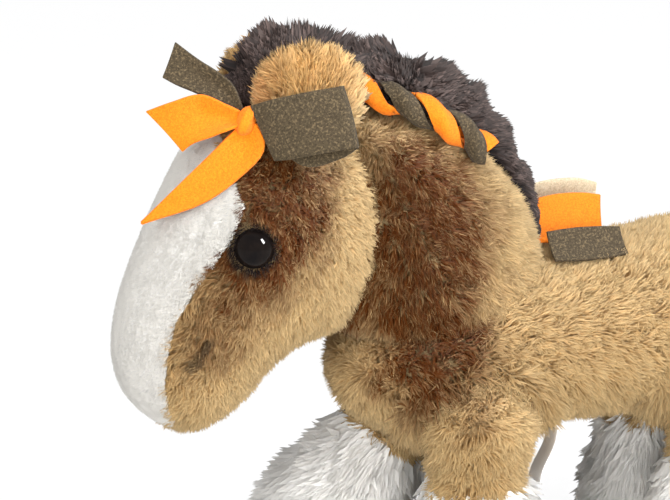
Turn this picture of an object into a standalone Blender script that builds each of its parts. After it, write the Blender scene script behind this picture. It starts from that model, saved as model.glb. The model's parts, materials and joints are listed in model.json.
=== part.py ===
"""Plush horse: stuffed body, jointed head, ears, legs and tail, with felt ribbons in its mane.

The horse faces -X, its left side is -Y and +Z is up. The origin lies on the floor, midway
between the ends of the horse. Every size is in metres.
"""
import math

import bpy
import numpy as np
from mathutils import Vector

# Fits
GAP = 0.0003
SEAM_GAP = 0.0006
JOINT_CLEARANCE = 0.0009
OVERRUN = 0.004

# Fabric: the skin's thickness holds its pile
SKIN = 0.005
FELT = 0.0015

# Torso: a barrel along X from the chest to the rump
STAND_X = -0.0165
TORSO_FRONT = -0.046
TORSO_LENGTH = 0.179
TORSO_HEIGHT = 0.0325
TORSO_WIDTH = 0.0375
TORSO_CENTRE_Z = 0.095
# Shares of the length, then centre, up, down (of the height) and side (of the width)
TORSO_RING_SHARES = (
    (0.000, -0.14, 0.00, 0.00, 0.00),
    (0.012, -0.14, 0.28, 0.28, 0.27),
    (0.045, -0.12, 0.55, 0.55, 0.54),
    (0.110, -0.06, 0.82, 0.82, 0.80),
    (0.210, -0.02, 0.97, 0.97, 0.95),
    (0.340, 0.00, 1.00, 1.00, 1.00),
    (0.510, 0.00, 0.99, 0.99, 1.01),
    (0.680, 0.04, 1.03, 1.03, 1.04),
    (0.810, 0.08, 1.06, 1.06, 1.04),
    (0.910, 0.09, 0.88, 0.88, 0.86),
    (0.970, 0.09, 0.56, 0.56, 0.55),
    (0.993, 0.09, 0.27, 0.27, 0.27),
    (1.000, 0.09, 0.00, 0.00, 0.00),
)
NECK_HOLE_RADIUS = 0.016

# Neck: a tall dome whose foot lies in the torso and whose front holds the head
NECK_FOOT_Z = 0.098
NECK_HEIGHT = 0.0885
NECK_X = -0.010
NECK_DEPTH = 0.042
NECK_WIDTH = 0.0335
# Shares of the height, then centre, front, back (of the depth) and side (of the width)
NECK_RING_SHARES = (
    (0.000, -0.08, 0.00, 0.00, 0.00),
    (0.020, -0.08, 0.52, 0.52, 0.55),
    (0.090, -0.07, 0.90, 0.90, 0.90),
    (0.200, -0.05, 0.99, 0.99, 0.99),
    (0.360, -0.04, 0.99, 0.99, 0.97),
    (0.530, 0.02, 0.92, 0.92, 0.93),
    (0.645, 0.09, 0.84, 0.84, 0.87),
    (0.770, 0.23, 0.75, 0.75, 0.78),
    (0.900, 0.40, 0.60, 0.60, 0.62),
    (0.965, 0.50, 0.38, 0.38, 0.40),
    (0.992, 0.55, 0.17, 0.17, 0.18),
    (1.000, 0.56, 0.00, 0.00, 0.00),
)

# Head: a round skull about the nod axis, drawn out into the muzzle along a tilted axis
NOD_X = -0.075
NOD_Z = 0.146
SKULL_RADIUS = 0.050
SKULL_WIDTH = 0.034
MUZZLE_LENGTH = 0.077
FACE_TILT = math.radians(27.0)
# Up to here, from the poll, the back of the head is the round skull
SKULL_END_SHARE = 0.24
# Shares of the skull's radius above the nod axis and of the muzzle's length below it, then front,
# back (of the skull's radius) and side (of its width)
FACE_RING_SHARES = (
    (-1.000, 0.00, 0.00, 0.00),
    (-0.963, 0.24, 0.27, 0.27),
    (-0.855, 0.44, 0.52, 0.52),
    (-0.662, 0.60, 0.75, 0.75),
    (-0.308, 0.69, 0.95, 0.95),
    (0.060, 0.71, 1.00, 1.00),
    (0.240, 0.71, 0.93, 0.93),
    (0.400, 0.70, 0.67, 0.87),
    (0.560, 0.67, 0.52, 0.80),
    (0.700, 0.61, 0.46, 0.74),
    (0.820, 0.52, 0.37, 0.68),
    (0.920, 0.38, 0.27, 0.53),
    (0.980, 0.20, 0.14, 0.29),
    (1.000, 0.00, 0.00, 0.00),
)
# White blaze: its outline as shares of the muzzle's length and of half a turn from the middle
BLAZE_OUTLINE_SHARES = (
    (-0.39, 0.03),
    (-0.22, 0.217),
    (-0.09, 0.322),
    (0.09, 0.322),
    (0.31, 0.294),
    (0.55, 0.283),
    (0.68, 0.300),
    (0.81, 0.317),
    (0.91, 0.372),
    (0.99, 0.490),
    (1.08, 0.490),
)
# The cutter reaches past the head's surface by this share, and its rings keep their size from here
BLAZE_REACH_SHARE = 1.4
BLAZE_END_SHARE = 0.82
BLAZE_ACROSS = 6
BLAZE_BACK = 0.003
BLAZE_SEAM = 0.0009
HEAD_HOLE_RADIUS = 0.017

# Eyes: a dome on a stem, held by a washer behind the skin
EYE_RADIUS = 0.007
EYE_HEIGHT = 0.0062
EYE_SINK = 0.0032
EYE_ALONG = 0.005
EYE_TURN = math.radians(73.0)
STEM_RADIUS = 0.0018
STEM_LENGTH = 0.0065
WASHER_RADIUS = 0.0075
WASHER_THICKNESS = 0.002
WASHER_ROOM = 0.0017

# Ears: padded leaves hinged at the foot
EAR_LENGTH = 0.0345
EAR_WIDTH = 0.0205
EAR_THICKNESS = 0.0045
EAR_SEAT = 0.0018
EAR_ALONG = -0.038
EAR_TURN = math.radians(75.0)
EAR_LEAN = Vector((0.03, 0.32, 0.94))
EAR_FACE = Vector((-0.30, -0.95, 0.00))
# Shares of the ear's length, then of its half-width and its half-thickness
EAR_RING_SHARES = (
    (0.00, 0.00, 0.00),
    (0.03, 0.30, 0.60),
    (0.12, 0.58, 1.00),
    (0.26, 0.92, 1.00),
    (0.48, 1.00, 0.95),
    (0.70, 0.93, 0.88),
    (0.88, 0.68, 0.70),
    (0.97, 0.34, 0.38),
    (1.00, 0.00, 0.00),
)

# Hair: forelock, mane and tail, each a tuft as dense as its hair
FORELOCK_HEIGHT = 0.021
FORELOCK_WIDTH = 0.012
FORELOCK_FROM = math.radians(99.0)
FORELOCK_TO = math.radians(78.0)
MANE_HEIGHT = 0.026
MANE_WIDTH = 0.0115
MANE_ROOT = 0.006
# Shares of the neck's height, of a tilt towards upright, then of the mane's height and width
MANE_RING_SHARES = (
    (0.9995, 1.00, 0.00, 0.00),
    (0.996, 0.95, 0.68, 0.60),
    (0.980, 0.80, 0.86, 0.95),
    (0.940, 0.55, 0.70, 1.00),
    (0.880, 0.25, 0.60, 1.00),
    (0.790, 0.05, 0.47, 0.95),
    (0.680, 0.00, 0.32, 0.85),
    (0.560, 0.00, 0.20, 0.70),
    (0.440, 0.00, 0.10, 0.50),
    (0.380, 0.00, 0.00, 0.00),
)
TAIL_SEAT_SHARE = 0.982
TAIL_ROOT_RADIUS = 0.0075
TAIL_LENGTH = 0.098
TAIL_DEPTH = 0.0100
TAIL_WIDTH = 0.0140
# Shares of the tail's length: how far out and down each ring lies, then of its depth and width
TAIL_RING_SHARES = (
    (0.060, -0.010, 0.54, 0.50),
    (0.110, 0.045, 0.60, 0.56),
    (0.135, 0.150, 0.74, 0.68),
    (0.140, 0.320, 0.95, 0.90),
    (0.137, 0.520, 1.00, 1.00),
    (0.130, 0.740, 0.88, 0.90),
    (0.122, 0.910, 0.54, 0.55),
    (0.118, 0.975, 0.26, 0.26),
    (0.116, 1.000, 0.00, 0.00),
)

# Legs: a ball in the torso's socket, a straight shank and a flared foot on a flat sole
FORE_HIP_X = 0.0
HIND_HIP_X = 0.097
HIP_SIDE = 0.0265
HIP_Z = 0.072
HIP_RADIUS = 0.022
SHANK_RADIUS = 0.0175
SHANK_END = 0.023
FOOT_RADIUS = 0.0245
SOLE_RADIUS = 0.024
SOLE_THICKNESS = 0.003
BALL_TURNS = 5
SKULL_TURNS = 16
BALL_END = math.radians(124.0)
# Shares of the run from the shank's end to the sole, then of the foot's radius
FOOT_RING_SHARES = (
    (0.00, 0.73),
    (0.20, 0.80),
    (0.45, 0.91),
    (0.70, 0.99),
    (0.88, 1.00),
    (1.00, 0.95),
)
# The stepping foreleg turns until the back of its sole meets the floor
STEP_ANGLE = 2 * math.atan(SOLE_RADIUS / HIP_Z)
STEP_SPREAD = math.radians(8.0)

# Garland: two felt ribbons twisted together along the mane's foot
GARLAND_RIBBON = 0.0060
GARLAND_RADIUS = 0.0032
GARLAND_LIFT = 0.0049
GARLAND_TURNS = 2
GARLAND_STEPS = 28
# Shares of the neck's height and of half a turn round it from the front
GARLAND_ROUTE_SHARES = (
    (0.958, 0.49),
    (0.935, 0.60),
    (0.895, 0.665),
    (0.840, 0.72),
    (0.770, 0.76),
)

# Bow on the forehead, laid out in the plane that faces it
BOW_FACE = Vector((-0.362, -0.896, 0.259))
BOW_KNOT_ALONG = -0.030
BOW_KNOT_TURN = math.radians(35.0)
KNOT_HEIGHT = 0.0065
KNOT_WIDTH = 0.0055
KNOT_DEPTH = 0.0055
KNOT_SEAT = 0.0002
RIBBON_WIDTH = 0.021
BOW_REACH = 0.037
BOW_STEPS = 10
COVER_STEPS = 60
# Each tail's felt, its layer from the head, the lowest that it sinks behind the knot, and its
# middle line: across, up and half-width
BOW_TAILS = {
    "bow_tail_upper": ("orange_felt", 2, -0.10, (
        (-0.185, 0.02, 0.09), (-0.30, 0.10, 0.20), (-0.50, 0.10, 0.25), (-0.86, -0.10, 0.27))),
    "bow_tail_lower": ("orange_felt", 0, -1.00, (
        (-0.06, -0.22, 0.12), (-0.12, -0.45, 0.22), (-0.42, -0.74, 0.26), (-0.98, -1.00, 0.06))),
    "bow_tail_olive": ("olive_felt", 0, -0.16, (
        (-0.14, 0.22, 0.09), (-0.28, 0.36, 0.22), (-0.50, 0.46, 0.24), (-0.78, 0.58, 0.26))),
}
# The loop's path: across and out of the bow's plane
BOW_LOOP_SHARES = (
    (0.160, 0.120),
    (0.42, 0.28),
    (0.72, 0.335),
    (0.90, 0.315),
    (0.96, 0.265),
    (0.90, 0.21),
    (0.70, 0.195),
    (0.42, 0.175),
    (0.158, 0.035),
)

# Ribbon ends on the back behind the neck: start and end shares of the torso's length, the turn
# from its top towards the left, how steeply the ribbon stands on its lower edge, and its width
WITHERS_ENDS = {
    "withers_ribbon_orange": ("orange_felt", (0.445, 0.60), math.radians(1.0), math.radians(80.0), 0.018),
    "withers_ribbon_olive": ("olive_felt", (0.450, 0.62), math.radians(17.0), math.radians(30.0), 0.012),
    "withers_ribbon_back": ("pale_felt", (0.465, 0.62), math.radians(-14.0), math.radians(80.0), 0.022),
}
WITHERS_STEPS = 6

# Care label: a bare satin strip sewn under the belly, behind the left foreleg
LABEL_X = 0.0310
LABEL_SIDE = 0.024
LABEL_WIDTH = 0.0105
LABEL_LENGTH = 0.021
LABEL_THICKNESS = 0.0008
LABEL_SEAT = 0.0002
LABEL_LEAN = math.radians(16.0)
LABEL_STEPS = 5

# How finely the round forms are drawn
RING_STEPS = 1
FINE_STEPS = 2
TORSO_SECTORS = 18
HEAD_SECTORS = 20
SOCKET_SECTORS = 20
LEG_SECTORS = 14
SMALL_SECTORS = 12

COLOURS = {
    "tan_plush": ((0.50, 0.34, 0.15), 0.95),
    "white_plush": ((0.80, 0.78, 0.73), 0.95),
    "dark_mane": ((0.045, 0.028, 0.025), 0.90),
    "orange_felt": ((0.90, 0.24, 0.02), 0.95),
    "olive_felt": ((0.14, 0.115, 0.065), 0.95),
    "pale_felt": ((0.62, 0.50, 0.34), 0.95),
    "eye_plastic": ((0.010, 0.008, 0.006), 0.08),
    "washer_plastic": ((0.75, 0.75, 0.72), 0.50),
    "stuffing": ((0.85, 0.85, 0.83), 1.00),
    "sole_suede": ((0.30, 0.20, 0.11), 0.95),
    "label_satin": ((0.85, 0.85, 0.85), 0.45),
}
MATERIALS = {}

X_AXIS = Vector((1, 0, 0))
Y_AXIS = Vector((0, 1, 0))
Z_AXIS = Vector((0, 0, 1))
STAND = Vector((STAND_X, 0, 0))


def clear_scene():
    """Remove what the scene holds."""
    for thing in list(bpy.data.objects):
        bpy.data.objects.remove(thing, do_unlink=True)


def material(slot):
    """The Principled material of one slot, made once."""
    if slot not in MATERIALS:
        colour, roughness = COLOURS[slot]
        made = bpy.data.materials.new(slot)
        made.use_nodes = True
        shader = made.node_tree.nodes["Principled BSDF"]
        shader.inputs["Base Color"].default_value = (*colour, 1)
        shader.inputs["Roughness"].default_value = roughness
        shader.inputs["Metallic"].default_value = 0
        MATERIALS[slot] = made
    return MATERIALS[slot]


def add_object(name, points, faces, slot, origin=None):
    """An object from points in the horse's frame, with its own origin where it turns."""
    origin = Vector(origin) if origin is not None else Vector((0, 0, 0))
    mesh = bpy.data.meshes.new(name)
    mesh.from_pydata([Vector(p) - origin for p in points], [], faces)
    mesh.validate()
    mesh.shade_smooth()
    thing = bpy.data.objects.new(name, mesh)
    thing.location = origin + STAND
    thing.data.materials.append(material(slot))
    bpy.context.collection.objects.link(thing)
    return thing


def as_cutter(thing):
    """Hide an object that only cuts others."""
    thing.hide_render = True
    thing.display_type = "WIRE"
    return thing


def make_skin(thing):
    """Give a surface the fabric's thickness, inwards."""
    solidify = thing.modifiers.new("skin", "SOLIDIFY")
    solidify.thickness = SKIN
    solidify.offset = -1
    return thing


def swell(thing, distance):
    """Move a surface out along its normals, or in where the distance is negative."""
    displace = thing.modifiers.new("swell", "DISPLACE")
    displace.strength = distance
    displace.mid_level = 0
    return thing


def combine(thing, other, operation="DIFFERENCE"):
    """Cut one object with another, or keep what they share."""
    boolean = thing.modifiers.new(other.name, "BOOLEAN")
    boolean.operation = operation
    boolean.object = other
    boolean.solver = "EXACT"
    return thing


def curve_through(rows, steps):
    """A Catmull-Rom curve through rows, without the first and last, which only guide it."""
    made = []
    for before, start, end, after in zip(rows, rows[1:], rows[2:], rows[3:]):
        for step in range(steps):
            t = step / steps
            made.append((2 * start + (end - before) * t + (2 * before - 5 * start + 4 * end - after) * t**2
                         + (3 * start - before - 3 * end + after) * t**3) / 2)
    made.append(rows[-2])
    return np.array(made)


def smooth_path(shares, sizes, steps):
    """A curve through a table of shares with open ends."""
    rows = np.array(shares, float) * np.array(sizes, float)
    return curve_through(np.vstack([2 * rows[0] - rows[1], rows, 2 * rows[-1] - rows[-2]]), steps)


def smooth_rows(shares, sizes, steps=RING_STEPS):
    """Rows of sizes on a curve through a table of shares.

    A closed end, where every radius is zero, is rounded by a mirrored row past it.
    """
    rows = np.array(shares, float) * np.array(sizes, float)
    radii = rows.shape[1] - 1 if rows.shape[1] < 4 else 3
    mirror = np.ones(rows.shape[1])
    mirror[-radii:] = -1

    def past(end, near):
        """The row that would follow an end."""
        closed = not np.any(np.array(end[-radii:]))
        return near * mirror if closed else 2 * end - near

    return curve_through(np.vstack([past(rows[0], rows[1]), rows, past(rows[-1], rows[-2])]), steps)


def loft(name, frames, rings, sectors, slot, origin=None, flat_ends=True):
    """A closed skin over rings: each ring has a frame and fore, aft and side radii.

    A frame is the ring's middle, its fore direction and its side direction. A ring without
    radii is a single point.
    """
    points, loops = [], []
    for (middle, fore, side), (ahead, behind, across) in zip(frames, rings):
        if max(ahead, behind, across) <= 0:
            loops.append([len(points)])
            points.append(Vector(middle))
            continue
        loop = []
        for sector in range(sectors):
            angle = 2 * math.pi * sector / sectors
            reach = ahead if math.cos(angle) > 0 else behind
            loop.append(len(points))
            points.append(Vector(middle) + fore * (reach * math.cos(angle)) + side * (across * math.sin(angle)))
        loops.append(loop)
    faces = []
    for near, far in zip(loops, loops[1:]):
        for k in range(sectors):
            following = (k + 1) % sectors
            if len(near) == 1:
                faces.append((near[0], far[following], far[k]))
            elif len(far) == 1:
                faces.append((near[k], near[following], far[0]))
            else:
                faces.append((near[k], near[following], far[following], far[k]))
    if flat_ends:
        if len(loops[0]) > 1:
            faces.append(tuple(reversed(loops[0])))
        if len(loops[-1]) > 1:
            faces.append(tuple(loops[-1]))
    return add_object(name, points, faces, slot, origin)


def straight_loft(name, start, axis, fore, rows, sectors, slot, origin=None, flat_ends=True):
    """A loft along a straight axis; rows hold along, shift, fore, aft and side."""
    side = axis.cross(fore)
    frames = [(Vector(start) + axis * row[0] + fore * row[1], fore, side) for row in rows]
    return loft(name, frames, [row[2:5] for row in rows], sectors, slot, origin, flat_ends)


def strip(name, middles, widths, half_widths, thickness, slot, origin=None):
    """A flat ribbon along a line of middles, with the direction of its width at each."""
    middles = [Vector(m) for m in middles]
    points = []
    for k, middle in enumerate(middles):
        ahead = middles[min(k + 1, len(middles) - 1)] - middles[max(k - 1, 0)]
        width = (widths[k] - ahead * (widths[k].dot(ahead) / ahead.length_squared)).normalized()
        face = ahead.cross(width).normalized()
        for across, out in ((-1, -1), (1, -1), (1, 1), (-1, 1)):
            points.append(middle + width * (across * half_widths[k]) + face * (out * thickness / 2))
    faces = [(3, 2, 1, 0)]
    for k in range(len(middles) - 1):
        base = 4 * k
        for j in range(4):
            following = (j + 1) % 4
            faces.append((base + j, base + following, base + 4 + following, base + 4 + j))
    last = 4 * (len(middles) - 1)
    faces.append((last, last + 1, last + 2, last + 3))
    return add_object(name, points, faces, slot, origin)


def cylinder(name, start, axis, length, radius, sectors=LEG_SECTORS):
    """A round cutter from a start point along an axis."""
    fore = axis.orthogonal().normalized()
    rows = [(0, 0, radius, radius, radius), (length, 0, radius, radius, radius)]
    return as_cutter(straight_loft(name, start, axis, fore, rows, sectors, "stuffing"))


def ellipsoid_rows(along, across, side, turns=12):
    """Rows of an ellipsoid of revolution, from pole to pole."""
    rows = []
    for turn in range(turns + 1):
        angle = math.pi * turn / turns
        reach = math.sin(angle) if 0 < turn < turns else 0
        rows.append((-along * math.cos(angle), 0, across * reach, across * reach, side * reach))
    return rows


def torso_rows():
    """Rings of the torso, from the chest to the rump."""
    return smooth_rows(TORSO_RING_SHARES, (TORSO_LENGTH, TORSO_HEIGHT, TORSO_HEIGHT, TORSO_HEIGHT, TORSO_WIDTH))


def torso_form(name):
    """The torso's outer surface."""
    start = Vector((TORSO_FRONT, 0, TORSO_CENTRE_Z))
    return straight_loft(name, start, X_AXIS, Z_AXIS, torso_rows(), TORSO_SECTORS, "tan_plush")


def torso_point(along_share, turn):
    """A point of the torso's surface and its normal, at a turn from the top towards the left."""
    rows = torso_rows()

    def at(along, angle):
        """The surface point at one ring."""
        shift, height, width = (np.interp(along, rows[:, 0], rows[:, column]) for column in (1, 2, 4))
        return Vector((TORSO_FRONT + along, -width * math.sin(angle),
                       TORSO_CENTRE_Z + shift + height * math.cos(angle)))

    along, step = along_share * TORSO_LENGTH, TORSO_LENGTH / 200
    run = at(along + step, turn) - at(along - step, turn)
    around = at(along, turn + math.pi / 200) - at(along, turn - math.pi / 200)
    return at(along, turn), around.cross(run).normalized()


def neck_rows():
    """Rings of the neck, from its foot to its top."""
    return smooth_rows(NECK_RING_SHARES, (NECK_HEIGHT, NECK_DEPTH, NECK_DEPTH, NECK_DEPTH, NECK_WIDTH))


def neck_form(name):
    """The neck's outer surface."""
    start = Vector((NECK_X, 0, NECK_FOOT_Z))
    return straight_loft(name, start, Z_AXIS, -X_AXIS, neck_rows(), TORSO_SECTORS, "tan_plush")


def neck_point(height_share, turn):
    """A point of the neck's surface and its normal, at a height and a turn from the front."""
    rows = neck_rows()
    height = height_share * NECK_HEIGHT

    def at(z, angle):
        """The surface point at one height."""
        shift, depth, width = (np.interp(z, rows[:, 0], rows[:, column]) for column in (1, 2, 4))
        return Vector((NECK_X - shift - depth * math.cos(angle), -width * math.sin(angle), NECK_FOOT_Z + z))

    step = NECK_HEIGHT / 200
    low, high = max(height - step, 0), min(height + step, NECK_HEIGHT)
    rise = at(high, turn) - at(low, turn)
    around = at(height, turn + math.pi / 200) - at(height, turn - math.pi / 200)
    return at(height, turn), rise.cross(around).normalized() * -1


NOD = Vector((NOD_X, 0, NOD_Z))
FACE_DOWN = Vector((-math.sin(FACE_TILT), 0, -math.cos(FACE_TILT)))
FACE_OUT = Vector((-math.cos(FACE_TILT), 0, math.sin(FACE_TILT)))


def head_rows():
    """Rings of the head from the poll to the muzzle; the back of the skull is an ellipsoid."""
    table = np.array(FACE_RING_SHARES)
    lengths = np.where(table[:, :1] < 0, SKULL_RADIUS, MUZZLE_LENGTH)
    radii = np.tile((SKULL_RADIUS, SKULL_RADIUS, SKULL_WIDTH), (len(table), 1))
    rows = smooth_rows(table, np.hstack([lengths, radii]))
    made = []
    for along, ahead, behind, across in rows:
        if along <= SKULL_END_SHARE * MUZZLE_LENGTH:
            round_share = math.sqrt(max(0, 1 - (along / SKULL_RADIUS) ** 2))
            behind = SKULL_RADIUS * round_share
            across = SKULL_WIDTH * round_share
            ahead = ahead if round_share > 0 else 0
        made.append((along, 0, ahead, behind, across))
    made[0] = (-SKULL_RADIUS, 0, 0, 0, 0)
    return made


def head_form(name):
    """The head's outer surface."""
    return straight_loft(name, NOD, FACE_DOWN, FACE_OUT, head_rows(), HEAD_SECTORS, "tan_plush")


def head_surface(along, turn):
    """A point of the head's surface; a turn of zero is the middle of the face."""
    rows = np.array(head_rows())
    ahead, behind, across = (np.interp(along, rows[:, 0], rows[:, column]) for column in (2, 3, 4))
    reach = ahead if math.cos(turn) > 0 else behind
    return NOD + FACE_DOWN * along + FACE_OUT * (reach * math.cos(turn)) - Y_AXIS * (across * math.sin(turn))


def head_point(along, turn, side=-1):
    """A point of the head's surface and its normal, on the left or the right side."""
    step, angle = MUZZLE_LENGTH / 100, math.pi / 100
    run = head_surface(along + step, turn) - head_surface(along - step, turn)
    around = head_surface(along, turn + angle) - head_surface(along, turn - angle)
    place, normal = head_surface(along, turn), run.cross(around).normalized()
    place.y *= -side
    normal.y *= -side
    return place, normal


def hip(x, side):
    """The centre of a leg's ball."""
    return Vector((x, side * HIP_SIDE, HIP_Z))


LEGS = {
    "foreleg_left": (hip(FORE_HIP_X, -1), 0.0),
    "foreleg_right": (hip(FORE_HIP_X, 1), STEP_ANGLE),
    "hindleg_left": (hip(HIND_HIP_X, -1), 0.0),
    "hindleg_right": (hip(HIND_HIP_X, 1), 0.0),
}


def socket(name, centre):
    """The round socket that one leg's ball turns in."""
    radius = HIP_RADIUS + JOINT_CLEARANCE
    rows = ellipsoid_rows(radius, radius, radius)
    return as_cutter(straight_loft(name, centre, -Z_AXIS, -X_AXIS, rows, SOCKET_SECTORS, "stuffing"))


def swing_room(name, centre, turn):
    """The room under the belly in which a leg that steps forward swings."""
    down = Vector((-math.sin(turn), 0, -math.cos(turn)))
    spread = math.tan(STEP_SPREAD)
    rows = [(0, 0, SHANK_RADIUS, SHANK_RADIUS, SHANK_RADIUS)]
    radius = SHANK_RADIUS + HIP_Z * spread
    rows.append((HIP_Z, 0, radius, radius, radius))
    fore = Vector((-math.cos(turn), 0, math.sin(turn)))
    return as_cutter(straight_loft(name, centre, down, fore, rows, SOCKET_SECTORS, "stuffing"))


def build_torso():
    """Torso skin with its stuffing, open at the neck and at each hip."""
    skin = make_skin(torso_form("torso_skin"))
    stuffing = swell(torso_form("torso_stuffing"), -SKIN - GAP)
    stuffing.data.materials[0] = material("stuffing")
    for leg, (centre, turn) in LEGS.items():
        cutters = [socket("cut_" + leg, centre)]
        if turn:
            cutters.append(swing_room("cut_swing_" + leg, centre, turn))
        for cutter in cutters:
            combine(skin, cutter)
            combine(stuffing, cutter)
    top = Vector((NECK_X, 0, TORSO_CENTRE_Z + SKIN))
    combine(skin, cylinder("cut_torso_neck", top, Z_AXIS, TORSO_HEIGHT, NECK_HOLE_RADIUS))


def clearances():
    """The room that the head, the torso and the neck take from the pieces beside them."""
    head = SKULL_RADIUS + JOINT_CLEARANCE
    rows = ellipsoid_rows(head, head, SKULL_WIDTH + JOINT_CLEARANCE, SKULL_TURNS)
    skull = straight_loft("cut_skull", NOD, FACE_DOWN, FACE_OUT, rows, HEAD_SECTORS, "stuffing")
    forms = (("cut_torso", torso_form), ("cut_neck", neck_form), ("cut_head", head_form))
    return [as_cutter(skull)] + [as_cutter(swell(form(name), GAP)) for name, form in forms]


def build_neck(skull_room, torso_room):
    """Neck skin with its stuffing, cut to the torso below and to the head in front."""
    skin = make_skin(neck_form("neck_skin"))
    stuffing = swell(neck_form("neck_stuffing"), -SKIN - GAP)
    stuffing.data.materials[0] = material("stuffing")
    for thing in (skin, stuffing):
        combine(thing, torso_room)
        combine(thing, skull_room)


def blaze_cutter(name, room):
    """A wedge from the head's axis out through the blaze's outline, widened by some room."""
    rows = np.array(head_rows())
    points, faces = [], []
    for along_share, turn_share in BLAZE_OUTLINE_SHARES:
        first = along_share == BLAZE_OUTLINE_SHARES[0][0]
        along = along_share * MUZZLE_LENGTH - (room if first else 0)
        turn = turn_share * math.pi + room / SKULL_WIDTH
        at = min(along, BLAZE_END_SHARE * MUZZLE_LENGTH)
        ahead, across = (np.interp(at, rows[:, 0], rows[:, column]) * BLAZE_REACH_SHARE for column in (2, 4))
        middle = NOD + FACE_DOWN * along
        points.append(middle - FACE_OUT * (BLAZE_BACK + room))
        for k in range(BLAZE_ACROSS + 1):
            angle = turn * (2 * k / BLAZE_ACROSS - 1)
            points.append(middle + FACE_OUT * (ahead * math.cos(angle)) + Y_AXIS * (across * math.sin(angle)))
    ring = BLAZE_ACROSS + 2
    last = len(points) - ring
    faces.append(tuple(reversed(range(ring))))
    faces.append(tuple(range(last, last + ring)))
    for base in range(0, last, ring):
        for k in range(ring):
            following = (k + 1) % ring
            faces.append((base + k, base + following, base + ring + following))
            faces.append((base + k, base + ring + following, base + ring + k))
    return as_cutter(add_object(name, points, faces, "stuffing"))


def lathe(name, start, axis, profile, sectors, slot, origin=None):
    """A turned piece; the profile holds along and radius."""
    fore = axis.orthogonal().normalized()
    rows = [(along, 0, radius, radius, radius) for along, radius in profile]
    return straight_loft(name, start, axis, fore, rows, sectors, slot, origin)


def build_eye(side_name, side, skin, stuffing):
    """One eye: recess, dome on its stem, and the washer that holds it behind the skin."""
    surface, normal = head_point(EYE_ALONG, EYE_TURN, side)
    inward = -normal
    seat = surface + inward * EYE_SINK
    room = EYE_RADIUS + JOINT_CLEARANCE
    recess = lathe("cut_eye_" + side_name, surface - inward * OVERRUN, inward,
                   ((0, room), (OVERRUN + EYE_SINK + GAP, room),
                    (OVERRUN + EYE_SINK + GAP, STEM_RADIUS + GAP), (OVERRUN + SKIN * 2, STEM_RADIUS + GAP)),
                   LEG_SECTORS, "stuffing")
    combine(skin, as_cutter(recess))
    profile = [(0, 0)]
    for step in (1, 2, 3, 4):
        angle = math.pi / 8 * step
        profile.append((EYE_HEIGHT * (1 - math.cos(angle)), EYE_RADIUS * math.sin(angle)))
    profile += [(EYE_HEIGHT, STEM_RADIUS), (EYE_HEIGHT + STEM_LENGTH, STEM_RADIUS), (EYE_HEIGHT + STEM_LENGTH, 0)]
    lathe("eye_" + side_name, seat - inward * EYE_HEIGHT, inward, profile, LEG_SECTORS, "eye_plastic")
    washer_at = surface + inward * (SKIN + WASHER_ROOM)
    washer = lathe("eye_washer_" + side_name, washer_at, inward,
                   ((0, 0), (0, WASHER_RADIUS), (WASHER_THICKNESS, WASHER_RADIUS), (WASHER_THICKNESS, 0)),
                   LEG_SECTORS, "washer_plastic")
    combine(washer, cylinder("cut_washer_" + side_name, washer_at - inward * OVERRUN, inward,
                             WASHER_THICKNESS + OVERRUN * 2, STEM_RADIUS + GAP))
    cavity = cylinder("cut_cavity_" + side_name, washer_at - inward * OVERRUN * 2, inward,
                      OVERRUN * 3 + WASHER_ROOM, WASHER_RADIUS + WASHER_ROOM)
    combine(stuffing, cavity)


def build_head():
    """Head skin, white blaze, stuffing and eyes."""
    skin = make_skin(head_form("head_skin"))
    blaze = make_skin(head_form("blaze_panel"))
    blaze.data.materials[0] = material("white_plush")
    stuffing = swell(head_form("head_stuffing"), -SKIN - GAP)
    stuffing.data.materials[0] = material("stuffing")
    combine(skin, blaze_cutter("cut_blaze_room", BLAZE_SEAM))
    combine(blaze, blaze_cutter("cut_blaze", 0), "INTERSECT")
    combine(skin, cylinder("cut_head_neck", NOD, X_AXIS, SKULL_RADIUS + OVERRUN, HEAD_HOLE_RADIUS))
    build_eye("left", -1, skin, stuffing)
    build_eye("right", 1, skin, stuffing)


def build_ears():
    """Two ears, each with its origin on the hinge along its foot."""
    for name, side in (("ear_left", -1), ("ear_right", 1)):
        surface, normal = head_point(EAR_ALONG, EAR_TURN, side)
        lean = Vector((EAR_LEAN.x, -side * EAR_LEAN.y, EAR_LEAN.z)).normalized()
        face = Vector((EAR_FACE.x, -side * EAR_FACE.y, EAR_FACE.z))
        face = (face - lean * face.dot(lean)).normalized()
        hinge = surface + normal * (EAR_THICKNESS + EAR_SEAT)
        foot = hinge - lean * EAR_THICKNESS
        rows = smooth_rows([(a, 0, t, t, w) for a, w, t in EAR_RING_SHARES],
                           (EAR_LENGTH, 1, EAR_THICKNESS, EAR_THICKNESS, EAR_WIDTH))
        straight_loft(name, foot, lean, face, rows, LEG_SECTORS, "tan_plush", hinge)


def crest_frame(middle, outward):
    """A ring's frame on a crest that runs back along the middle plane."""
    return Vector(middle), outward.normalized(), -Y_AXIS


def build_forelock(head_room):
    """The tuft between the ears, on the round top of the skull."""
    count = 9
    frames, rings = [], []
    for k in range(count):
        share = k / (count - 1)
        angle = FORELOCK_FROM + (FORELOCK_TO - FORELOCK_FROM) * share
        outward = Vector((math.cos(angle), 0, math.sin(angle)))
        bulge = math.sin(math.pi * share) ** 0.5 if 0 < k < count - 1 else 0
        frames.append(crest_frame(NOD + outward * SKULL_RADIUS, outward))
        rings.append((FORELOCK_HEIGHT * bulge, MANE_ROOT * bulge, FORELOCK_WIDTH * bulge))
    tuft = loft("forelock", frames, rings, LEG_SECTORS, "dark_mane")
    combine(tuft, head_room)


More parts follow.
